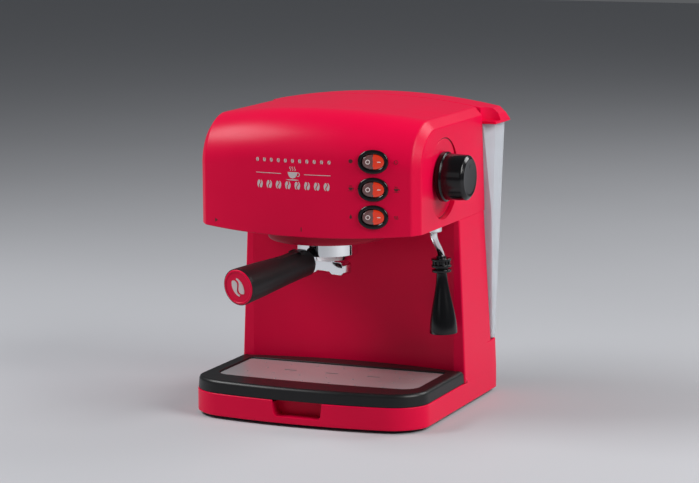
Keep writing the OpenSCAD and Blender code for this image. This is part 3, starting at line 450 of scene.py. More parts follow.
def make_head():
    edge = rounded([(0, 0, 0), (HEAD_W - BEVEL, 0, 3.5), (HEAD_W, BEVEL, 3), (HEAD_W, 12, 0)], 5)
    half = [(x, 0) for x in spread(0, edge[1].x, 24)[:-1]] + [tuple(p) for p in edge[1:]]
    stations = [(-x, inset) for x, inset in reversed(half[1:])] + half
    rings = [head_section(x, inset) for x, inset in stations]
    dish = [(39.7, 0, 0), (39.2, 0, 0.08), (DISH_R, 0, 0.35), (DISH_R, 1, 0.9), (GROOVE_R, 1, 0.9),
            (GROOVE_R, 1, 0.15), (37.9, 1, 0), (30, 1, 0), (18, 1, 0), (6.5, 1, 0), (6.5, 1, 2.4)]
    angles = [math.atan2(p.z - DISH[1], p.y - DISH[0]) for p in rings[-1]]
    for radius, share, extra in dish:
        rings.append([dish_point(radius, angle, share, extra) for angle in angles])
    head = new_object("head_cover", *skin(rings))
    cutters = [prism("hole", oval(*SWITCH_HOLE, 2.6), -8, 3, switch_place(z)) for z in SWITCH_ZS]
    cut(head, joined("holes", *cutters))
    finish_piece(head, "root", RED, "red_plastic", "head_shell", sharp=38)
    # A thin dark ring laid in the groove round the dish: painted shade standing in for the groove's dark
    # outline.
    groove_shade = [[dish_point(radius, angle, 1, extra) for angle in around(145)]
            for radius, extra in ((38.15, 0.86), (38.15, 0.35), (38.95, 0.35), (38.95, 0.86))]
    finish_piece(new_object("dish_groove_painted_shade", *skin(groove_shade, loop=True)), "root", DARK_PRINT_AND_SHADE, "red_plastic")


def make_head_floor():
    """The flat floor of the head, with the round shroud that hangs round the group."""
    floor = HEAD_LOW + 0.5
    shroud_foot = machine_box("head_floor")[0].z
    top, inside, bore = floor + 2.4, SHROUD_R - WALL, SHROUD_BORE + WALL
    profile = rounded([(SHROUD_BORE, top, 0), (SHROUD_BORE, shroud_foot, 0.8), (SHROUD_R, shroud_foot, 3.5),
                       (SHROUD_R, floor + 1, 0), (SHROUD_R, top, 0), (inside, top, 0),
                       (inside, shroud_foot + WALL, 1), (bore, shroud_foot + WALL, 1), (bore, top, 0)], 6)
    shroud = lathe("shroud", profile + [profile[0]], move(0, GROUP_Y, 0))
    edge = HEAD_W - 2.9
    half = [Vector((x, alcove_y(x) - 0.1, 0)) for x in spread(0, ALCOVE_W, 24)]
    half += [Vector((edge, COLUMN_FRONT, 0)), Vector((edge, HEAD_FRONT + 18, 0))]
    half += [Vector((x, bulge(x) + 3, 0)) for x in spread(edge - 6, 0, 20)]
    outline = [(p.x, p.y) for p in mirrored(half)]
    plate = prism("plate", outline, floor, top)
    cut(plate, pin(54.6, floor - 5, floor + 8, move(0, GROUP_Y, 0)),
        pin(6, floor - 5, floor + 8, move(*WAND_AT, 0), 32))
    made = joined("head_floor_and_shroud", shroud, plate)
    # The floor and shroud take the darker red: painted shade for the head's underside.
    finish_piece(made, "root", SHADED_RED, "red_plastic", "head_floor")


# ---------- base and column ----------
def base_half(inset):
    """The base seen from above, from the middle of its back round to the middle of its front."""
    w, back, front = BASE_W - inset, BASE_BACK - inset, BASE_FRONT + inset
    r = BACK_CORNER - inset
    ca, cb = CORNER[0] - inset, CORNER[1] - inset
    points = [(x, back) for x in spread(0, w - r, 6)]
    points += back_round(w, back, r, 6)
    points += [(w, y) for y in spread(back - r, BACK_SEAM, 2)[1:]]
    points += [(w, y) for y in spread(BACK_SEAM, COLUMN_FRONT + 2, 8)[1:]]
    points += [(w, y) for y in spread(COLUMN_FRONT + 2, front + cb + arc_drop(FRONT_ARC, w), 8)[1:]]
    for a in quarter(12):
        x = w - ca + ca * math.cos(a)
        points.append((x, front + cb - cb * math.sin(a) + arc_drop(FRONT_ARC, x)))
    points += [(x, front + arc_drop(FRONT_ARC, x)) for x in spread(w - ca, 0, 16)[1:]]
    return points


BACK_POINTS = 6 + 6 + 2 + 1        # of base_half's points, those round the back
SIDE_POINTS = BACK_POINTS + 8      # and those as far as the column's front
FRONT_POINTS = 8 + 12 + 16         # and those after it


def alcove_y(x):
    radius = (ALCOVE_W ** 2 + ALCOVE_DEPTH ** 2) / (2 * ALCOVE_DEPTH)
    return COLUMN_FRONT + ALCOVE_DEPTH - arc_drop(radius, x)


def column_half(z, inset=0.0, limit=1000.0):
    """The column seen from above at a height, in the same order and number of points as base_half."""
    w = min(HEAD_W + (BASE_W - HEAD_W) * (HEAD_LOW - z) / (HEAD_LOW - RIM), BASE_W) - inset
    back = BACK_SEAM + (BACK_FOOT - BACK_SEAM) * (HEAD_LOW - z) / (HEAD_LOW - LEDGE) - inset
    front = COLUMN_FRONT + inset
    r = 3.0
    points = [(x, back) for x in spread(0, w - r, 6)]
    points += back_round(w, back, r, 6)
    points += [(w, y) for y in spread(back - r, back - r - 2, 2)[1:]]
    points += [(w, y) for y in spread(back - r - 2, front + 2, 8)[1:]]
    lip = rounded([(w, front + 2, 0), (w, front, 1.6), (ALCOVE_W + 0.4, front, 1.6),
                   (ALCOVE_W - 3, alcove_y(ALCOVE_W - 3) + inset, 0)], 7)
    points += [tuple(p) for p in lip[1:]]
    points += [(x, alcove_y(x) + inset) for x in spread(ALCOVE_W - 3, 0, FRONT_POINTS - len(lip) + 1)[1:]]
    return [(min(x, limit), y) for x, y in points]


def make_body():
    rings = []

    def add(back, side, front):
        """One ring: the height and outline of its back, side and front stretches."""
        ring = []
        for (outline, z), first, last in ((back, 0, BACK_POINTS), (side, BACK_POINTS, SIDE_POINTS),
                                          (front, SIDE_POINTS, None)):
            ring += flat(outline[first:last], z)
        rings.append(mirrored(ring))

    def add_plain(outline, z):
        add((outline, z), (outline, z), (outline, z))

    def wide(z, inset=0.0):
        """The rear block above the rim: as deep as the base and as wide as the column."""
        width = column_half(z)[BACK_POINTS][0] / BASE_W
        return [(x * width, y) for x, y in base_half(inset)]

    foot = rounded([(2.5, 1.2, 0), (2.5, 0, 0), (0, 0, 1.4), (0, 8, 0)], 5)
    for inset, z in foot:
        add_plain(base_half(inset), z)
    add_plain(base_half(0), RIM - 0.9)
    shoulder = rounded([(0, RIM - 1, 0), (0, RIM, 0.9), (WALL, RIM, 0.7), (WALL, RIM - 2, 0)], 4)
    for inset, z in shoulder[1:]:
        add((base_half(0), RIM), (base_half(0), RIM), (base_half(inset), z))
    recess = RIM - 15
    limit = BASE_W - WALL
    for z, widest in ((recess, limit), (RIM - 0.02, limit), (RIM, 1000)):
        add((base_half(0), RIM), (base_half(0), RIM), (column_half(z, limit=widest), z))
    for z in spread(RIM, LEDGE - 1.5, 4)[1:]:
        add((wide(z), z), (column_half(z), z), (column_half(z), z))
    for angle in quarter(4):
        inset, z = 1.5 * (1 - math.cos(angle)), LEDGE - 1.5 * (1 - math.sin(angle))
        add((wide(z, inset), z), (column_half(z), z), (column_half(z), z))
    for z in [LEDGE] + spread(LEDGE, HEAD_LOW - 0.9, 5)[1:]:
        add_plain(column_half(z), z)
    for angle in quarter(4):
        add_plain(column_half(HEAD_LOW, 0.9 * (1 - math.cos(angle))), HEAD_LOW - 0.9 * (1 - math.sin(angle)))
    body = new_object("casing", *skin(rings))

    notch = rounded([(-30, RIM + 4, 0), (-26.2, RIM + 4, 0), (-24, 6.5, 4.5), (24, 6.5, 4.5),
                     (26.2, RIM + 4, 0), (30, RIM + 4, 0)], 6)[1:-1]
    cut(body, prism("notch", notch, 118, 140, turn(90, "X")))
    soften(body, 0.9, lambda p: abs(p.x) < 28 and p.y < BASE_FRONT + 1.5 and p.z > 4, 50)
    slope = math.degrees(math.atan((BACK_FOOT - BACK_SEAM) / (HEAD_LOW - LEDGE)))
    panel = move(0, BACK_FOOT, LEDGE) @ turn(90 + slope, "X")
    low, high = 3.1, HEAD_LOW - LEDGE - 5
    hatch = prism("hatch", [(-108, low), (108, low), (108, high), (-108, high)], -5, 2.7, panel)
    drain = pin(8.9, LEDGE - 12, LEDGE + 5, move(*VALVE_AT, 0), 48)
    inlet = pin(6, -5, 12, move(78, BASE_BACK, 24) @ turn(90, "X"), 48)
    cut(body, hatch, drain, inlet)
    finish_piece(body, "root", RED, "red_plastic", "body_shell", sharp=32)


# ---------- drip tray ----------
TRAY_FOOT, TRAY_TOP = (corner.z for corner in machine_box("drip_tray"))
GRID_FRONT = machine_box("drip_grid")[0].y
GRID_W, GRID_BACK, GRID_TOP = machine_box("drip_grid")[1]


def bay_half(half_w, front, back, corner, back_corner, front_drop, back_drop):
    """A rounded plan outline from the middle of its back to the middle of its front."""
    ca, cb = corner
    r = back_corner
    points = [(x, back - back_drop(x)) for x in spread(0, half_w - r, 18)]
    for a in quarter(5):
        x = half_w - r + r * math.sin(a)
        points.append((x, back - r + r * math.cos(a) - back_drop(x)))
    points += [(half_w, y) for y in spread(points[-1][1], front + cb + front_drop(half_w), 8)[1:]]
    for a in quarter(12):
        x = half_w - ca + ca * math.cos(a)
        points.append((x, front + cb - cb * math.sin(a) + front_drop(x)))
    return points + [(x, front + front_drop(x)) for x in spread(half_w - ca, 0, 16)[1:]]


def tray_half(inset):
    return bay_half(BASE_W - inset, BASE_FRONT + inset, COLUMN_FRONT + ALCOVE_DEPTH - inset,
                    (CORNER[0] - inset, CORNER[1] - inset), 1.6, lambda x: arc_drop(FRONT_ARC, x),
                    lambda x: COLUMN_FRONT + ALCOVE_DEPTH - max(alcove_y(min(x, ALCOVE_W)), COLUMN_FRONT))


def grid_half(inset):
    bow = 1100.0
    return bay_half(GRID_W - inset, GRID_FRONT + inset, GRID_BACK - inset, (14 - inset, 14 - inset),
                    max(3 - inset, 0.5), lambda x: arc_drop(bow, x), lambda x: 0.0)


def level(half, z):
    return mirrored(flat(half, z))


def make_tray():
    rings = [level(grid_half(2.5), TRAY_FOOT), level(grid_half(1.0), TRAY_FOOT + 0.6),
             level(grid_half(0.5), TRAY_FOOT + 2), level(grid_half(0.5), TRAY_TOP - 4.2),
             level(tray_half(3.2), TRAY_TOP - 4.2), level(tray_half(3.2), RIM + 0.3)]
    outside = rounded([(3.2, RIM + 0.3, 0), (0.7, RIM + 0.3, 0.5), (1.6, TRAY_TOP, 4.0),
                       (9, TRAY_TOP - 0.3, 0)], 8)
    rings += [level(tray_half(inset), z) for inset, z in outside[1:]]
    lip = rounded([(-3.0, TRAY_TOP - 0.3, 0), (-0.4, TRAY_TOP - 0.4, 0.7), (-0.4, GRID_TOP - 2.2, 0),
                   (3, GRID_TOP - 2.2, 0.3), (3, TRAY_FOOT + 2, 3), (8, TRAY_FOOT + 2, 0)], 5)
    rings += [level(grid_half(inset), z) for inset, z in lip]
    tray = new_object("tray", *skin(rings))
    finish_piece(tray, "tray", BLACK_SATIN, "satin_black", "drip_tray", sharp=50)


def make_grid():
    edge = rounded([(3, GRID_TOP - 2, 0), (0, GRID_TOP - 2, 0.3), (0, GRID_TOP, 0.7), (4, GRID_TOP, 0)], 4)
    grid = new_object("cup_plate", *skin([level(grid_half(inset), z) for inset, z in edge]))
    drills = []
    for row in range(4):
        for i in range(-3, 4):
            x = 28 * i + (14 if row % 2 == 0 else 2) - (14 if i > 2 else 0)
            if row != 2 or abs(x) > 55:
                drills.append(pin(1.3, -4, 4, move(x, 22 * row - 88, GRID_TOP), 20))
    for i in (-1, 0, 1):
        slot = [(p[0] + 44 * i, p[1] - 47) for p in oval(7, 1.5, 5, 40)]
        drills.append(prism("slot", slot, GRID_TOP - 5, GRID_TOP + 5))
    cut(grid, joined("drills", *drills))
    finish_piece(grid, "grid", PLATE, "plate_metal", "drip_grid", sharp=30)


# ---------- water tank and lid ----------
TANK_TOP = machine_box("water_tank")[1].z - 0.6
TANK_FOOT = LEDGE + 1
TANK_W, TANK_FOOT_W = machine_box("water_tank")[1].x, 119.4
TANK_BACK, TANK_FOOT_BACK = 115.5, 98.0
LID_LOW = 270.0
LID_W = machine_box("tank_lid")[1].x
LID_FRONT, LID_BACK = BACK_TOP + 1, 113.0
HINGE = (119.0, 267.0)
HINGE_R = 3.2


def tank_half(z, inset):
    """The tank seen from above at a height: flat back, side, slanting front facet and front."""
    share = (z - TANK_FOOT) / (TANK_TOP - TANK_FOOT)
    w = TANK_FOOT_W + (TANK_W - TANK_FOOT_W) * share - inset
    back = TANK_FOOT_BACK + (TANK_BACK - TANK_FOOT_BACK) * share - inset
    lean = (BACK_FOOT - BACK_SEAM) / (HEAD_LOW - LEDGE)
    head_lean = (BACK_SEAM - BACK_TOP) / (HEAD_TOP - 16 - HEAD_LOW)
    front = BACK_SEAM + 1.2 + (lean * (HEAD_LOW - z) if z < HEAD_LOW else -head_lean * (z - HEAD_LOW)) + inset
    # the facet runs from (113, 70.5) to (122.5, 82) and gives way to the corner lower down
    facet = 11.5 / 9.5
    front_x = 113 + (front - 70.5 - inset * 1.3) / facet
    side_y = 82 + (w - 122.5) * facet + inset * 1.3
    front_x, side_y = min(front_x, w - 1.0), max(side_y, front + 1.2)
    r = 7 - inset
    points = [(x, back) for x in spread(0, w - r, 8)]
    points += back_round(w, back, r, 8)
    points += [(w, y) for y in spread(back - r, side_y + 0.7, 3)[1:]]
    bend = rounded([(w, side_y + 0.7, 0), (w, side_y, 0.5), (front_x, front, 0.5),
                    (front_x - 0.7, front, 0)], 3)
    points += [tuple(p) for p in bend[1:]]
    return points + [(x, front) for x in spread(front_x - 0.7, 0, 8)[1:]]


def hinge_eye(x, bore, half):
    """A round eye on the hinge's line, centred at x."""
    eye = rounded([(bore, -half, 0), (HINGE_R, -half, 0.4), (HINGE_R, half, 0.4), (bore, half, 0)], 2)
    return lathe("eye", [*eye, eye[0]], move(x, *HINGE) @ turn(90, "Y"), 40)


def hinge_plate(outline, x, half):
    """A flat piece of the hinge from its (y, z) outline, centred at x."""
    return prism("plate", [(-b, a) for a, b in outline], x - half, x + half, turn(90, "Y"))


def make_tank():
    foot = rounded([(6, TANK_FOOT, 0), (0, TANK_FOOT, 1.5), (0, TANK_FOOT + 4, 0)], 4)
    rings = [level(tank_half(z, inset), z) for inset, z in foot]
    heights = spread(TANK_FOOT + 12, HEAD_LOW, 6) + spread(HEAD_LOW, TANK_TOP - 0.5, 4)[1:]
    rings += [level(tank_half(z, 0), z) for z in heights]
    rings += [level(tank_half(TANK_TOP, inset), TANK_TOP) for inset in (0.5, 1.7)]
    rings += [level(tank_half(z, 2.2), z) for z in reversed(heights)]
    rings.append(level(tank_half(TANK_FOOT + 5, 2.4), TANK_FOOT + 5))
    rings.append(level(tank_half(TANK_FOOT + 2.4, 6), TANK_FOOT + 2.4))
    tank = new_object("tank_shell", *skin(rings))
    cut(tank, pin(3.75, TANK_FOOT - 3, TANK_FOOT + 4, move(*VALVE_AT, 0), 32))
    knuckles = []
    for x in (-62, 62):
        knuckles.append(hinge_eye(x, 1.5, 6))
        root = [(TANK_BACK - 1.5, HINGE[1] - HINGE_R), (HINGE[0], HINGE[1] - HINGE_R),
                (HINGE[0] - 1.6, HINGE[1] + 0.8), (TANK_BACK - 1.5, HINGE[1] + 0.8)]
        knuckles.append(hinge_plate(root, x, 6))
    tank = joined("tank_with_hinge_eyes", tank, *knuckles)
    finish_piece(tank, "tank", TANK, "tank_plastic", "water_tank", sharp=22)
    level_z = 216.0
    heights = spread(TANK_FOOT + 6, HEAD_LOW, 4) + [HEAD_LOW + 10, level_z]
    rings = [level(tank_half(TANK_FOOT + 2.6, 7), TANK_FOOT + 2.6)]
    rings += [level(tank_half(z, 2.35), z) for z in heights]
    water = new_object("water", *skin(rings))
    finish_piece(water, "tank", WATER, "tank_plastic", sharp=22)


def lid_section(x, inset):
    """The lid cut across at x, by the height of its top there."""
    hw = abs(x) + inset
    facets = [(LID_W - 11, LID_LOW + 17.5), (LID_W - 3, LID_LOW + 9.6)]
    top = min(crown(min(hw, LID_W - 5)), facets[0][1] + (facets[0][0] - hw) * 7.9 / 8,
              facets[1][1] + (facets[1][0] - hw) * 7.6 / 3) - inset
    front, back = LID_FRONT + inset, LID_BACK - inset
    low = LID_LOW - (5 if inset else 0)
    r = min(10 - inset, top - low - 0.6)
    outline = [(y, low) for y in spread(front, back, 6)]
    outline += [(back, z) for z in spread(low, top - r, 3)[1:]]
    outline += [(back - r + r * math.cos(a), top - r + r * math.sin(a)) for a in quarter(8)]
    outline += [(y, top) for y in spread(back - r, front + 1.0, 6)[1:]]
    outline += rounded([(front + 1.0, top, 0), (front, top, 0.7), (front, top - 1.0, 0)], 3)[1:]
    outline += [(front, z) for z in spread(top - 1.0, low, 3)[1:-1]]
    return [Vector((x, y, z)) for y, z in outline]


def make_lid():
    ends = [LID_W - inset for inset in (12.4, 9.4, 8.3, 7.2, 3.7, 3, 2.4, 0.5, 0.12, 0)]
    half = spread(0, LID_W - 15, 16) + ends
    stations = [-x for x in reversed(half[1:])] + half
    lid = new_object("lid", *skin([lid_section(x, 0) for x in stations]))
    inner = [x for x in stations if abs(x) < LID_W - 27]
    cut(lid, new_object("hollow", *skin([lid_section(x, 2.4) for x in inner])))
    cut(lid, *[pin(16, LID_LOW + 2.5, LID_LOW + 40, move(s * LID_W, LID_FRONT, 0)) for s in (-1, 1)])
    scoop_edge = 17.0
    soften(lid, 0.6, lambda p: (abs(p.x) - LID_W) ** 2 + (p.y - LID_FRONT) ** 2 < scoop_edge ** 2
           and p.z > LID_LOW + 1.5, 45)
    eyes = []
    end, near = HINGE[0] + HINGE_R, HINGE[0] - 2.6
    arm = [(LID_BACK - 2, LID_LOW), (end, LID_LOW), (end, LID_LOW + 1.6), (end - 1.4, LID_LOW + 3),
           (LID_BACK - 2, LID_LOW + 3)]
    web = [(near, HINGE[1]), (end, HINGE[1]), (end, LID_LOW + 1), (near, LID_LOW + 1)]
    for x in (-71, -53, 53, 71):
        eyes += [hinge_eye(x, 1.56, 2.7), hinge_plate(arm, x, 2.7), hinge_plate(web, x, 2.7)]
    lid = joined("lid_with_hinge_eyes", lid, *eyes)
    finish_piece(lid, "lid", RED, "red_plastic", "tank_lid", sharp=24)


# ---------- switches ----------
def make_switch(name, z):
    place = switch_place(z)
    ring = rounded([(0, 0, 0), (0, 2.0, 1.3), (3.0, 1.95, 0.9), (4.1, 0.9, 0.4), (4.2, -0.5, 0),
                    (0, -0.5, 0)], 6)
    rings = [flat(oval(BEZEL[0] - inset, BEZEL[1] - inset, 2.15), t) for inset, t in ring]
    bezel = new_object(f"{name}_bezel", *skin(rings, loop=True), place)
    finish_piece(bezel, "root", BLACK_GLOSS, "gloss_black", sharp=50)

    tilted = place @ move(0, 0, -2) @ turn(8, "Y")
    top = lambda a: 3.35 + 0.16 * math.sqrt(a * a + 2)
    rings = [flat(oval(*KEY, 2.25), -3)]
    for inset, drop in ((0, 1.0), (0.12, 0.45), (0.4, 0.12), (0.9, 0)):
        rings.append([Vector((a, b, top(a) - drop)) for a, b in oval(KEY[0] - inset, KEY[1] - inset, 2.25)])
    for share in (0.75, 0.5, 0.25, 0.02):
        rings.append([Vector((a, b, top(a))) for a, b in oval(9.3 * share, 6.0 * share, 2.25)])
    rocker = new_object(f"{name}_key", *skin(rings), tilted)
    rocker.data.materials.append(CLEAR)
    rocker.data.materials.append(LIT_RED)
    back_to_place = (TO_FRAME @ tilted).inverted()
    for face in rocker.data.polygons:
        face.material_index = int((back_to_place @ face.center).x > -0.4)
    finish_piece(rocker, f"{name}_switch", CLEAR, "rocker_red", f"{name}_rocker", sharp=60)

    ring = [(1.5, 0), (1.5, 0.22), (2.2, 0.22), (2.2, 0), (1.5, 0)]
    along, height = 5.2, top(5.2) - 0.08
    circle = lathe("circle", ring, tilted @ move(-along, 0, height) @ turn(8.5, "Y"), 32)
    bar = prism("bar", oval(1.7, 0.45, 3, 24), 0, 0.2, tilted @ move(along, 0, height) @ turn(-8.5, "Y"))
    marks = joined(f"{name}_key_marks", circle, bar)
    finish_piece(marks, f"{name}_switch", MARK, "rocker_red")


# ---------- printed marks on the head's front ----------
def stroke(route, width):
    """The outline of a line of even width with round ends."""
    points = [Vector(p) for p in route]
    left, right = [], []
    for i, p in enumerate(points):
        along = (points[min(i + 1, len(points) - 1)] - points[max(i - 1, 0)]).normalized()
        side = Vector((-along.y, along.x)) * width / 2
        left.append(p + side)
        right.append(p - side)
    ahead = (points[-1] - points[-2]).normalized() * width * 0.35
    behind = (points[0] - points[1]).normalized() * width * 0.35
    return left + [points[-1] + ahead] + right[::-1] + [points[0] + behind]


SUNK, RAISED = -0.05, 0.12         # the faces of a print, from the head's own surface


def on_bulge(outline, lift):
    return [Vector((a, bulge(a) - lift, b)) for a, b in outline]


def patch(outline):
    """A small raised print that follows the head's curved front."""
    return skin([on_bulge(outline, SUNK), on_bulge(outline, RAISED)])


def ring_patch(x, z, radius, width):
    outer, inner = (placed(oval(r, r, 2, 32), x, z) for r in (radius, radius - width))
    return skin([on_bulge(outer, SUNK), on_bulge(outer, RAISED), on_bulge(inner, RAISED),
                 on_bulge(inner, SUNK)], loop=True)


def rule(start, end, z, width):
    """A straight printed line from start to end along x."""
    rings = [[Vector((x, bulge(x) - lift, z + side * width / 2)) for side, lift in
              ((-1, SUNK), (-1, RAISED), (1, RAISED), (1, SUNK))] for x in spread(start, end, 16)]
    return skin(rings)


def printed(name, material, patches):
    corners, faces = [], []
    for new_corners, new_faces in patches:
        faces += [tuple(len(corners) + i for i in face) for face in new_faces]
        corners += new_corners
    finish_piece(new_object(name, corners, faces), "root", material, "red_plastic")


def placed(outline, x, z, size=1.0):
    return [(x + a * size, z + b * size) for a, b in outline]


def cup(x, z, size):
    """A small cup on a saucer, seen from the side, with steam above it."""
    bowl = [(-5, 3), (5, 3)]
    bowl += [(5 * math.cos(a), 3 - 6 * math.sin(a)) for a in spread(0.25, math.pi - 0.25, 10)]
    shapes = [placed(bowl, x, z, size), placed(oval(6.5, 0.5, 2, 24), x, z - 4.4 * size, size)]
    handle = [(5 + 2.2 * math.sin(a), 0.8 + 1.8 * math.cos(a)) for a in spread(0, math.pi, 8)]
    shapes.append(placed(stroke(handle, 0.8), x, z, size))
    for shift in (-2.4, 0, 2.4):
        curl = [(shift + 0.6 * math.sin(t * 2 * math.pi), 4.4 + 3.6 * t) for t in spread(0, 1, 8)]
        shapes.append(placed(stroke(curl, 0.6), x, z, size))
    return shapes


def bean(x, z, size):
    """A coffee bean: two halves with a bent groove between them."""
    halves = []
    for s in (-1, 1):
        groove = [(0.35 * math.sin(t * math.pi) + s * 0.22, 1.5 * t) for t in spread(-0.9, 0.9, 8)]
        edge = [(s * 1.15 * math.cos(a), 1.7 * math.sin(a))
                for a in spread(math.radians(64), -math.radians(64), 10)]
        halves.append(placed(groove + edge, x, z, size))
    return halves


def make_prints():
    left, right = -47.0, 30.0
    middle = (left + right) / 2
    emblem = [rule(left, middle - 12, 237.5, 0.6), rule(middle + 12, right, 237.5, 0.6)]
    shapes = cup(middle, 236.4, 1.0)
    for i in range(11):
        shapes += bean(left + 1.5 + (right - left - 3) * i / 10, 250.0, 1.25)
    for i in range(8):
        shapes += bean(left + 4 + (right - left - 8) * i / 7, 226.8, 2.5)
    printed("front_emblem", SILVER_PRINT, emblem + [patch(shape) for shape in shapes])

    near, far = SWITCH_X - 21.5, SWITCH_X + 21.5
    power, coffee, steam = SWITCH_ZS
    shapes = [placed(oval(1.9, 1.9, 2, 24), near, power)]
    shapes += cup(near, coffee, 0.42) + cup(far, coffee, 0.42)
    drop = [(1.5 * math.sin(a) * math.sin(a / 2) ** 1.2, 2.2 * math.cos(a)) for a in around(20)]
    shapes.append(placed(drop, near, steam))
    for shift in (-1.3, 0, 1.3):
        curl = [(shift + 0.35 * math.sin(t * 2 * math.pi), 3.2 * t - 1.6) for t in spread(0, 1, 8)]
        shapes.append(placed(stroke(curl, 0.4), far, steam))
    shapes += [[(-94.5, 186.2), (-91.2, 188.2), (-94.5, 190.2)], stroke([(0, 183.4), (0, 187.2)], 0.7)]
    symbols = [ring_patch(far, power, 1.9, 0.4)] + [patch(shape) for shape in shapes]
    printed("switch_symbols", DARK_PRINT_AND_SHADE, symbols)


# ---------- steam knob and wand ----------
def make_knob():
    back, end = (corner.x for corner in machine_box("steam_knob"))
    profile = rounded([(19, back, 0), (24, back, 0.8), (24, back + 5, 1.4), (22.3, back + 5.4, 0.5),
                       (21.6, end - 2.5, 2.4), (18.2, end, 1.6), (15.5, end - 0.3, 0.6),
                       (0, end - 0.9, 0)], 6)
    shell = profile + [Vector((0, end - 4)), Vector((18.6, end - 7)), Vector((19, back))]
    knob = lathe("steam_dial", shell, KNOB_AXIS, 120)
    pointer = prism("pointer", oval(4.6, 0.9, 4, 32), 0, 1.1, KNOB_AXIS @ move(-13.6, 0, end - 1.5))
    finish_piece(knob, "knob", BLACK_GLOSS, "gloss_black", "steam_knob", sharp=50)
    finish_piece(pointer, "knob", BLACK_SATIN, "gloss_black", sharp=30)


def make_wand():
    pipe = tube("wand_pipe", [(0, 0, -2), (0, 0, -9), (0, 18, -25), (0, 18, -31), (0, 18, -50)], 3.5, WAND)
    finish_piece(pipe, "wand", CHROME, "chrome", "wand_tube")
    ball = lathe("wand_joint", [(5 * math.sin(a), -5 * math.cos(a)) for a in spread(0.75, math.pi - 0.4, 18)],
                 WAND, 48)
    finish_piece(ball, "wand", CHROME, "chrome", "wand_ball")
    low, top = (corner.z for corner in machine_box("wand_nut"))
    floor = HEAD_LOW + 0.5
    shell = rounded([(4.5, low, 0), (8, low, 1.2), (8, floor, 0.3), (5.8, floor, 0), (5.8, top, 0.5),
                     (2, top, 0), (2, low + 6, 0), (4.9, low + 3, 0), (4.5, low, 0)])
    nut = lathe("wand_socket", shell, move(*WAND_AT, 0), 48)
    finish_piece(nut, "root", CHROME, "chrome", "wand_nut")
    tip = rounded([(0.8, 20, 0), (3.45, 20, 0), (3.45, 25, 0.8), (2.2, 27, 0.4), (0.8, 27, 0),
                   (0.8, 20, 0)], 4)
    nozzle = lathe("wand_tip", tip, STRAIGHT_WAND, 40)
    finish_piece(nozzle, "wand", CHROME, "chrome", "wand_nozzle")

    rings = rounded([(3.6, -1, 0), (4.8, -1, 0.4), (5.2, 1.2, 0.3), (9.7, 1.3, 0.7), (9.7, 3.8, 0.7),
                     (7.4, 4.1, 0.3), (7.4, 7.0, 0.3), (9.7, 7.4, 0.7), (9.7, 9.9, 0.7), (6.2, 10.4, 0.4),
                     (6.2, 11.6, 0.4), (9.4, 12.0, 0.8), (9.4, 14.8, 0.8), (3.6, 14.8, 0), (3.6, -1, 0)], 4)
    collar = lathe("collar", rings, STRAIGHT_WAND, 72)
    ribs = [prism("rib", oval(1.2, 1.0, 4, 16), 3.6, 7.6, STRAIGHT_WAND @ turn(a, "Z") @ move(7.6, 0, 0))
            for a in range(0, 360, 30)]
    finish_piece(joined("frother_collar", collar, *ribs), "wand", BLACK_GLOSS, "gloss_black", "wand_collar",
                 sharp=40)

    top_t, end_t = 15.0, 74.5
    outside = []
    for t in spread(0, 1, 26):
        swell = 5.2 + 8.2 * (t * t * (3 - 2 * t)) ** 0.92
        outside.append(Vector((swell, top_t + 0.6 + (end_t - top_t - 1.2) * t)))
    inside = [Vector((p.x - 1.5, p.y)) for p in reversed(outside) if p.y > top_t + 18]
    profile = [Vector((3.6, top_t)), Vector((4.6, top_t))] + outside
    profile += [Vector((13.0, end_t)), Vector((12.3, end_t))] + inside
    profile += [Vector((3.6, top_t + 17)), Vector((3.6, top_t))]
    sleeve = lathe("sleeve", profile, STRAIGHT_WAND, 96)
    across = STRAIGHT_WAND @ move(0, 0, 38) @ turn(-100, "Z") @ turn(90, "Y")
    cut(sleeve, pin(0.9, 0, 20, across, 20))
    finish_piece(sleeve, "frother", BLACK_GLOSS, "gloss_black", "froth_sleeve", sharp=40)


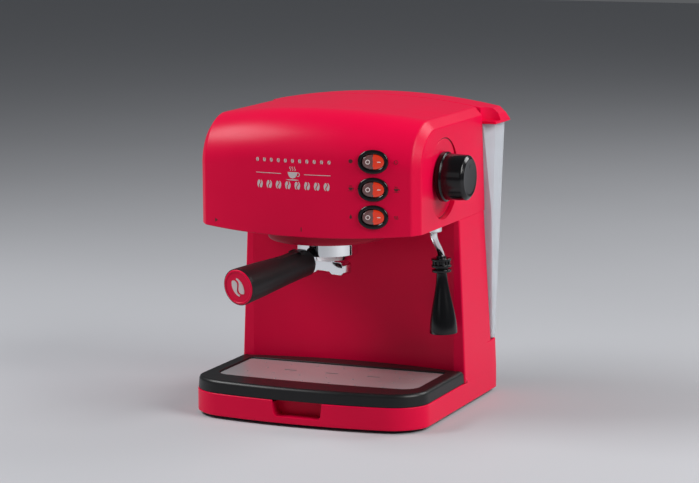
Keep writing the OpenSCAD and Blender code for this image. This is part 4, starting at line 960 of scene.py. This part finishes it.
# ---------- portafilter ----------
def make_portafilter():
    foot, rim = 149.5, 176.0
    outside = rounded([(3, foot, 0), (25.5, foot, 1.0), (27.6, foot + 2.6, 1.2), (29.4, foot + 4.6, 0.8),
                       (29.5, 168, 0), (29.5, rim, 0.5), (27, rim, 0.3), (27, foot + 3, 3),
                       (3, foot + 3, 0), (3, foot, 0)], 5)
    bowl = lathe("bowl", outside, GROUP, 120)
    boss = lathe("handle_boss", rounded([(3, -7, 0), (7, -7, 0), (7, 9.9, 0.4), (3, 9.9, 0), (3, -7, 0)], 3),
                 HANDLE, 48)
    lugs = []
    for side in (0, 180):
        arc = [(33.9 * math.cos(a), 33.9 * math.sin(a)) for a in spread(-0.26, 0.26, 8)]
        arc += [(28.6 * math.cos(a), 28.6 * math.sin(a)) for a in spread(0.3, -0.3, 8)]
        lugs.append(prism("lug", arc, 172.3, 175.6, GROUP @ turn(side, "Z")))
    finish_piece(joined("filter_holder", bowl, boss, *lugs), "portafilter", CHROME, "chrome",
                 "portafilter_bowl", sharp=32)

    block = [(-24, 136.5), (-22, 134.5), (-10, 134.5), (-7, 137), (7, 137), (10, 134.5), (22, 134.5),
             (24, 136.5), (24, 144), (21, 147), (-21, 147), (-24, 144)]
    bar = prism("bar", block, -7, 7, GROUP @ turn(90, "X"))
    cut(bar, *[pin(2.6, 120, 140, GROUP @ move(s * 16, 0, 0), 32) for s in (-1, 1)])
    soften(bar, 0.7, None, 25)
    neck = rounded([(3, 146.5, 0), (9, 146.5, 0.3), (9, foot, 0), (3, foot, 0), (3, 146.5, 0)], 3)
    hub = lathe("hub", neck, GROUP, 64)
    finish_piece(joined("twin_spout", bar, hub), "portafilter", CHROME, "chrome", "spout", sharp=30)

    grip_len = 99.0
    side = [Vector((7.1, 0)), Vector((10.8, 0))]
    side += rounded([(10.8, 0, 0), (13.0, 1.6, 1.2), (13.2, 12, 0), (14.2, 36, 30), (16.4, 72, 60),
                     (17.5, grip_len, 0.5), (15.5, grip_len, 0)], 6)[1:]
    side += [Vector((3.1, grip_len)), Vector((3.1, 10.6)), Vector((7.1, 10.5)), Vector((7.1, 0))]
    grip = lathe("grip", side, HANDLE, 96)
    ear = [(-1.4, 8), (1.4, 8), (1.4, 13.4), (0.9, 14.1), (-0.9, 14.1), (-1.4, 13.4)]
    ears = [prism("ear", [(s * 6.2 + a, b) for a, b in ear], 8, 16, HANDLE) for s in (-1, 1)]
    bay = [(-4.8, 9.6), (4.8, 9.6), (4.8, 24), (-4.8, 24)]
    deep = [(-4.8, 7.6), (4.8, 7.6), (4.8, 24), (-4.8, 24)]
    cut(grip, prism("bay", bay, 1, 45, HANDLE), prism("deep_bay", deep, 0.9, 12, HANDLE))
    soften(grip, 0.5, None, 50, 2)
    finish_piece(joined("handle", grip, *ears), "portafilter", BLACK_SATIN, "satin_black", "handle_grip",
                 sharp=40)
    make_handle_end(grip_len)


def make_handle_end(end):
    """The red cap on the handle, its black rim and the bean printed on it."""
    disc = rounded([(0, end + 0.02, 0), (16.8, end + 0.02, 0.3), (16.8, end + 2.3, 1.2),
                    (15.1, end + 3.0, 0.5), (14.4, end + 2.2, 0.4), (6, end + 2.35, 0),
                    (0, end + 2.45, 0)], 5)
    cap = lathe("handle_end", disc, HANDLE, 96)
    finish_piece(cap, "portafilter", RED, "red_plastic", "handle_cap", sharp=40)
    band = rounded([(16.7, end + 0.1, 0), (17.5, end + 0.1, 0.05), (17.5, end + 1.9, 0.3),
                    (16.7, end + 1.9, 0), (16.7, end + 0.1, 0)], 2)
    finish_piece(lathe("handle_end_ring", band, HANDLE, 96), "portafilter", BLACK_SATIN, "satin_black")
    halves = []
    for s in (-1, 1):
        groove = [(2.2 * math.sin(t * math.pi) + s * 1.1, 8.0 * t) for t in spread(-0.9, 0.9, 12)]
        edge = [(s * 6.6 * math.cos(a), 9.4 * math.sin(a))
                for a in spread(math.radians(62), -math.radians(62), 14)]
        half = prism("half", groove + edge, end + 2.0, end + 2.85, HANDLE @ turn(28, "Z"))
        soften(half, 0.22, None, 50, 2)
        halves.append(half)
    finish_piece(joined("handle_end_bean", *halves), "portafilter", SILVER_PRINT, "red_plastic", sharp=30)


def make_clip():
    at, height = 12.0, 12.2
    profile = rounded([(4, height - 1.6, 0), (4, height + 1.6, 0.8), (20, height + 1.6, 0),
                       (36, height + 1.2, 6), (42, height + 0.6, 0.9), (42, height - 1.6, 0.6),
                       (4, height - 1.6, 0)], 4)
    side = [(-p.x, p.y) for p in profile[1:]]
    lever = prism("lever", side, -4.4, 4.4, HANDLE @ turn(90, "Y"))
    soften(lever, 0.7, None, 40)
    axle = lathe("axle", rounded([(0, -7.4, 0), (1.14, -7.4, 0.2), (1.14, 7.4, 0.2), (0, 7.4, 0)], 2),
                 HANDLE @ move(0, height, at) @ turn(90, "Y"), 24)
    finish_piece(joined("thumb_clip", lever, axle), "clip", BLACK_LEVER, "gloss_black", "basket_clip",
                 sharp=40)


# ---------- feet ----------
def make_feet():
    low = machine_box("feet")[0].z
    profile = rounded([(0, low + 0.8, 0), (6.5, low + 0.8, 0), (6.8, low, 0.2), (9, low, 0.7),
                       (8.7, 0, 0.3), (2.9, 0, 0), (2.9, 3.4, 0.4), (0, 3.4, 0)], 4)
    places = ((-94, -94), (94, -94), (-100, 84), (100, 84))
    feet = [lathe("foot", profile, move(x, y, 0), 48) for x, y in places]
    finish_piece(joined("rubber_feet", *feet), "root", RUBBER, "rubber", "feet")


make_head()
make_head_floor()
make_body()
make_tray()
make_grid()
make_tank()
make_lid()
for switch_name, switch_z in zip(SWITCH_NAMES, SWITCH_ZS):
    make_switch(switch_name, switch_z)
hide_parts("switch_bezels")
make_prints()
make_knob()
make_wand()
make_portafilter()
make_clip()
make_feet()

# ---------- the CAD nodes that stay ----------
KEPT = {
    DARK_PLASTIC: "rear_cover base_plate tank_socket switch_housings",
    COIL: "pump_coil",
    RUBBER: "cord_gland group_gasket pump_mounts",
    STEEL: "base_screws head_screws rear_screws lid_hinge_pins rocker_pins valve_stem steam_pipe "
           "wand_feed_pipe "
           "shower_screen shower_screw boiler_screws heating_element thermal_fuse pump_piston pump_bracket "
           "filter_basket handle_stud",
    ALUMINIUM: "brew_head boiler_base boiler_top",
    BRASS: "steam_valve relief_valve",
    WHITE_PLASTIC: "terminal_block tank_valve thermostats pump_core",
    SILICONE: "suction_hose pressure_hose",
}
for kept_material, names in KEPT.items():
    for name in names.split():
        for material_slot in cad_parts[name].material_slots:
            material_slot.link = "OBJECT"
            material_slot.material = kept_material


# ---------- floor, light and camera ----------
FLOOR = surface("studio_floor", (0.50, 0.51, 0.54), 0.6, shade=0.97, patch=3, Specular_IOR_Level=0.2)
floor_mesh = bpy.data.meshes.new("floor")
floor_mesh.from_pydata([(-6, -6, 0), (6, -6, 0), (6, 6, 0), (-6, 6, 0)], [], [(0, 1, 2, 3)])
floor_mesh.materials.append(FLOOR)
floor = bpy.data.objects.new("floor", floor_mesh)
bpy.context.scene.collection.objects.link(floor)

world = bpy.data.worlds.new("studio")
world.use_nodes = True
world.node_tree.nodes["Background"].inputs["Color"].default_value = (0.75, 0.78, 0.82, 1)
world.node_tree.nodes["Background"].inputs["Strength"].default_value = 0.14
bpy.context.scene.world = world
bpy.context.scene.view_settings.view_transform = "Standard"

MIDDLE = Vector((0, 0, 0.15))


def softbox(name, place, size, watts, tint=(1, 1, 1)):
    lamp = bpy.data.lights.new(name, "AREA")
    lamp.shape = "RECTANGLE"
    lamp.size, lamp.size_y = size
    lamp.energy = watts
    lamp.color = tint
    holder = bpy.data.objects.new(name, lamp)
    holder.location = place
    holder.rotation_mode = "QUATERNION"
    holder.rotation_quaternion = (MIDDLE - Vector(place)).to_track_quat("-Z", "Y")
    bpy.context.scene.collection.objects.link(holder)


softbox("key", (1.6, -0.35, 1.2), (1.0, 1.0), 29, (1.0, 0.98, 0.96))
softbox("overhead", (-1.10, -0.45, 1.28), (0.9, 0.6), 21)
softbox("front_fill", (-0.9, -2.2, 1.0), (1.2, 1.0), 1.5, (0.94, 0.97, 1.0))
softbox("rear_fill", (1.4, 1.6, 1.6), (1.2, 1.0), 25)

lens_data = bpy.data.cameras.new("camera")
lens_data.lens = 131.06
lens_data.sensor_width = 36.0
lens_data.clip_end = 20
camera = bpy.data.objects.new("camera", lens_data)
azimuth, elevation, roll = math.radians(22.74), math.radians(9.06), math.radians(-0.26)
back = Vector((math.sin(azimuth) * math.cos(elevation), -math.cos(azimuth) * math.cos(elevation),
               math.sin(elevation)))
target = ORIGIN + Vector((-0.3, 0, 156.3)) * MM
distance = 2.5077
camera.location = target + back * distance
camera.rotation_mode = "QUATERNION"
camera.rotation_quaternion = (-back).to_track_quat("-Z", "Y") @ Matrix.Rotation(roll, 3, "Z").to_quaternion()
bpy.context.scene.collection.objects.link(camera)
bpy.context.scene.camera = camera
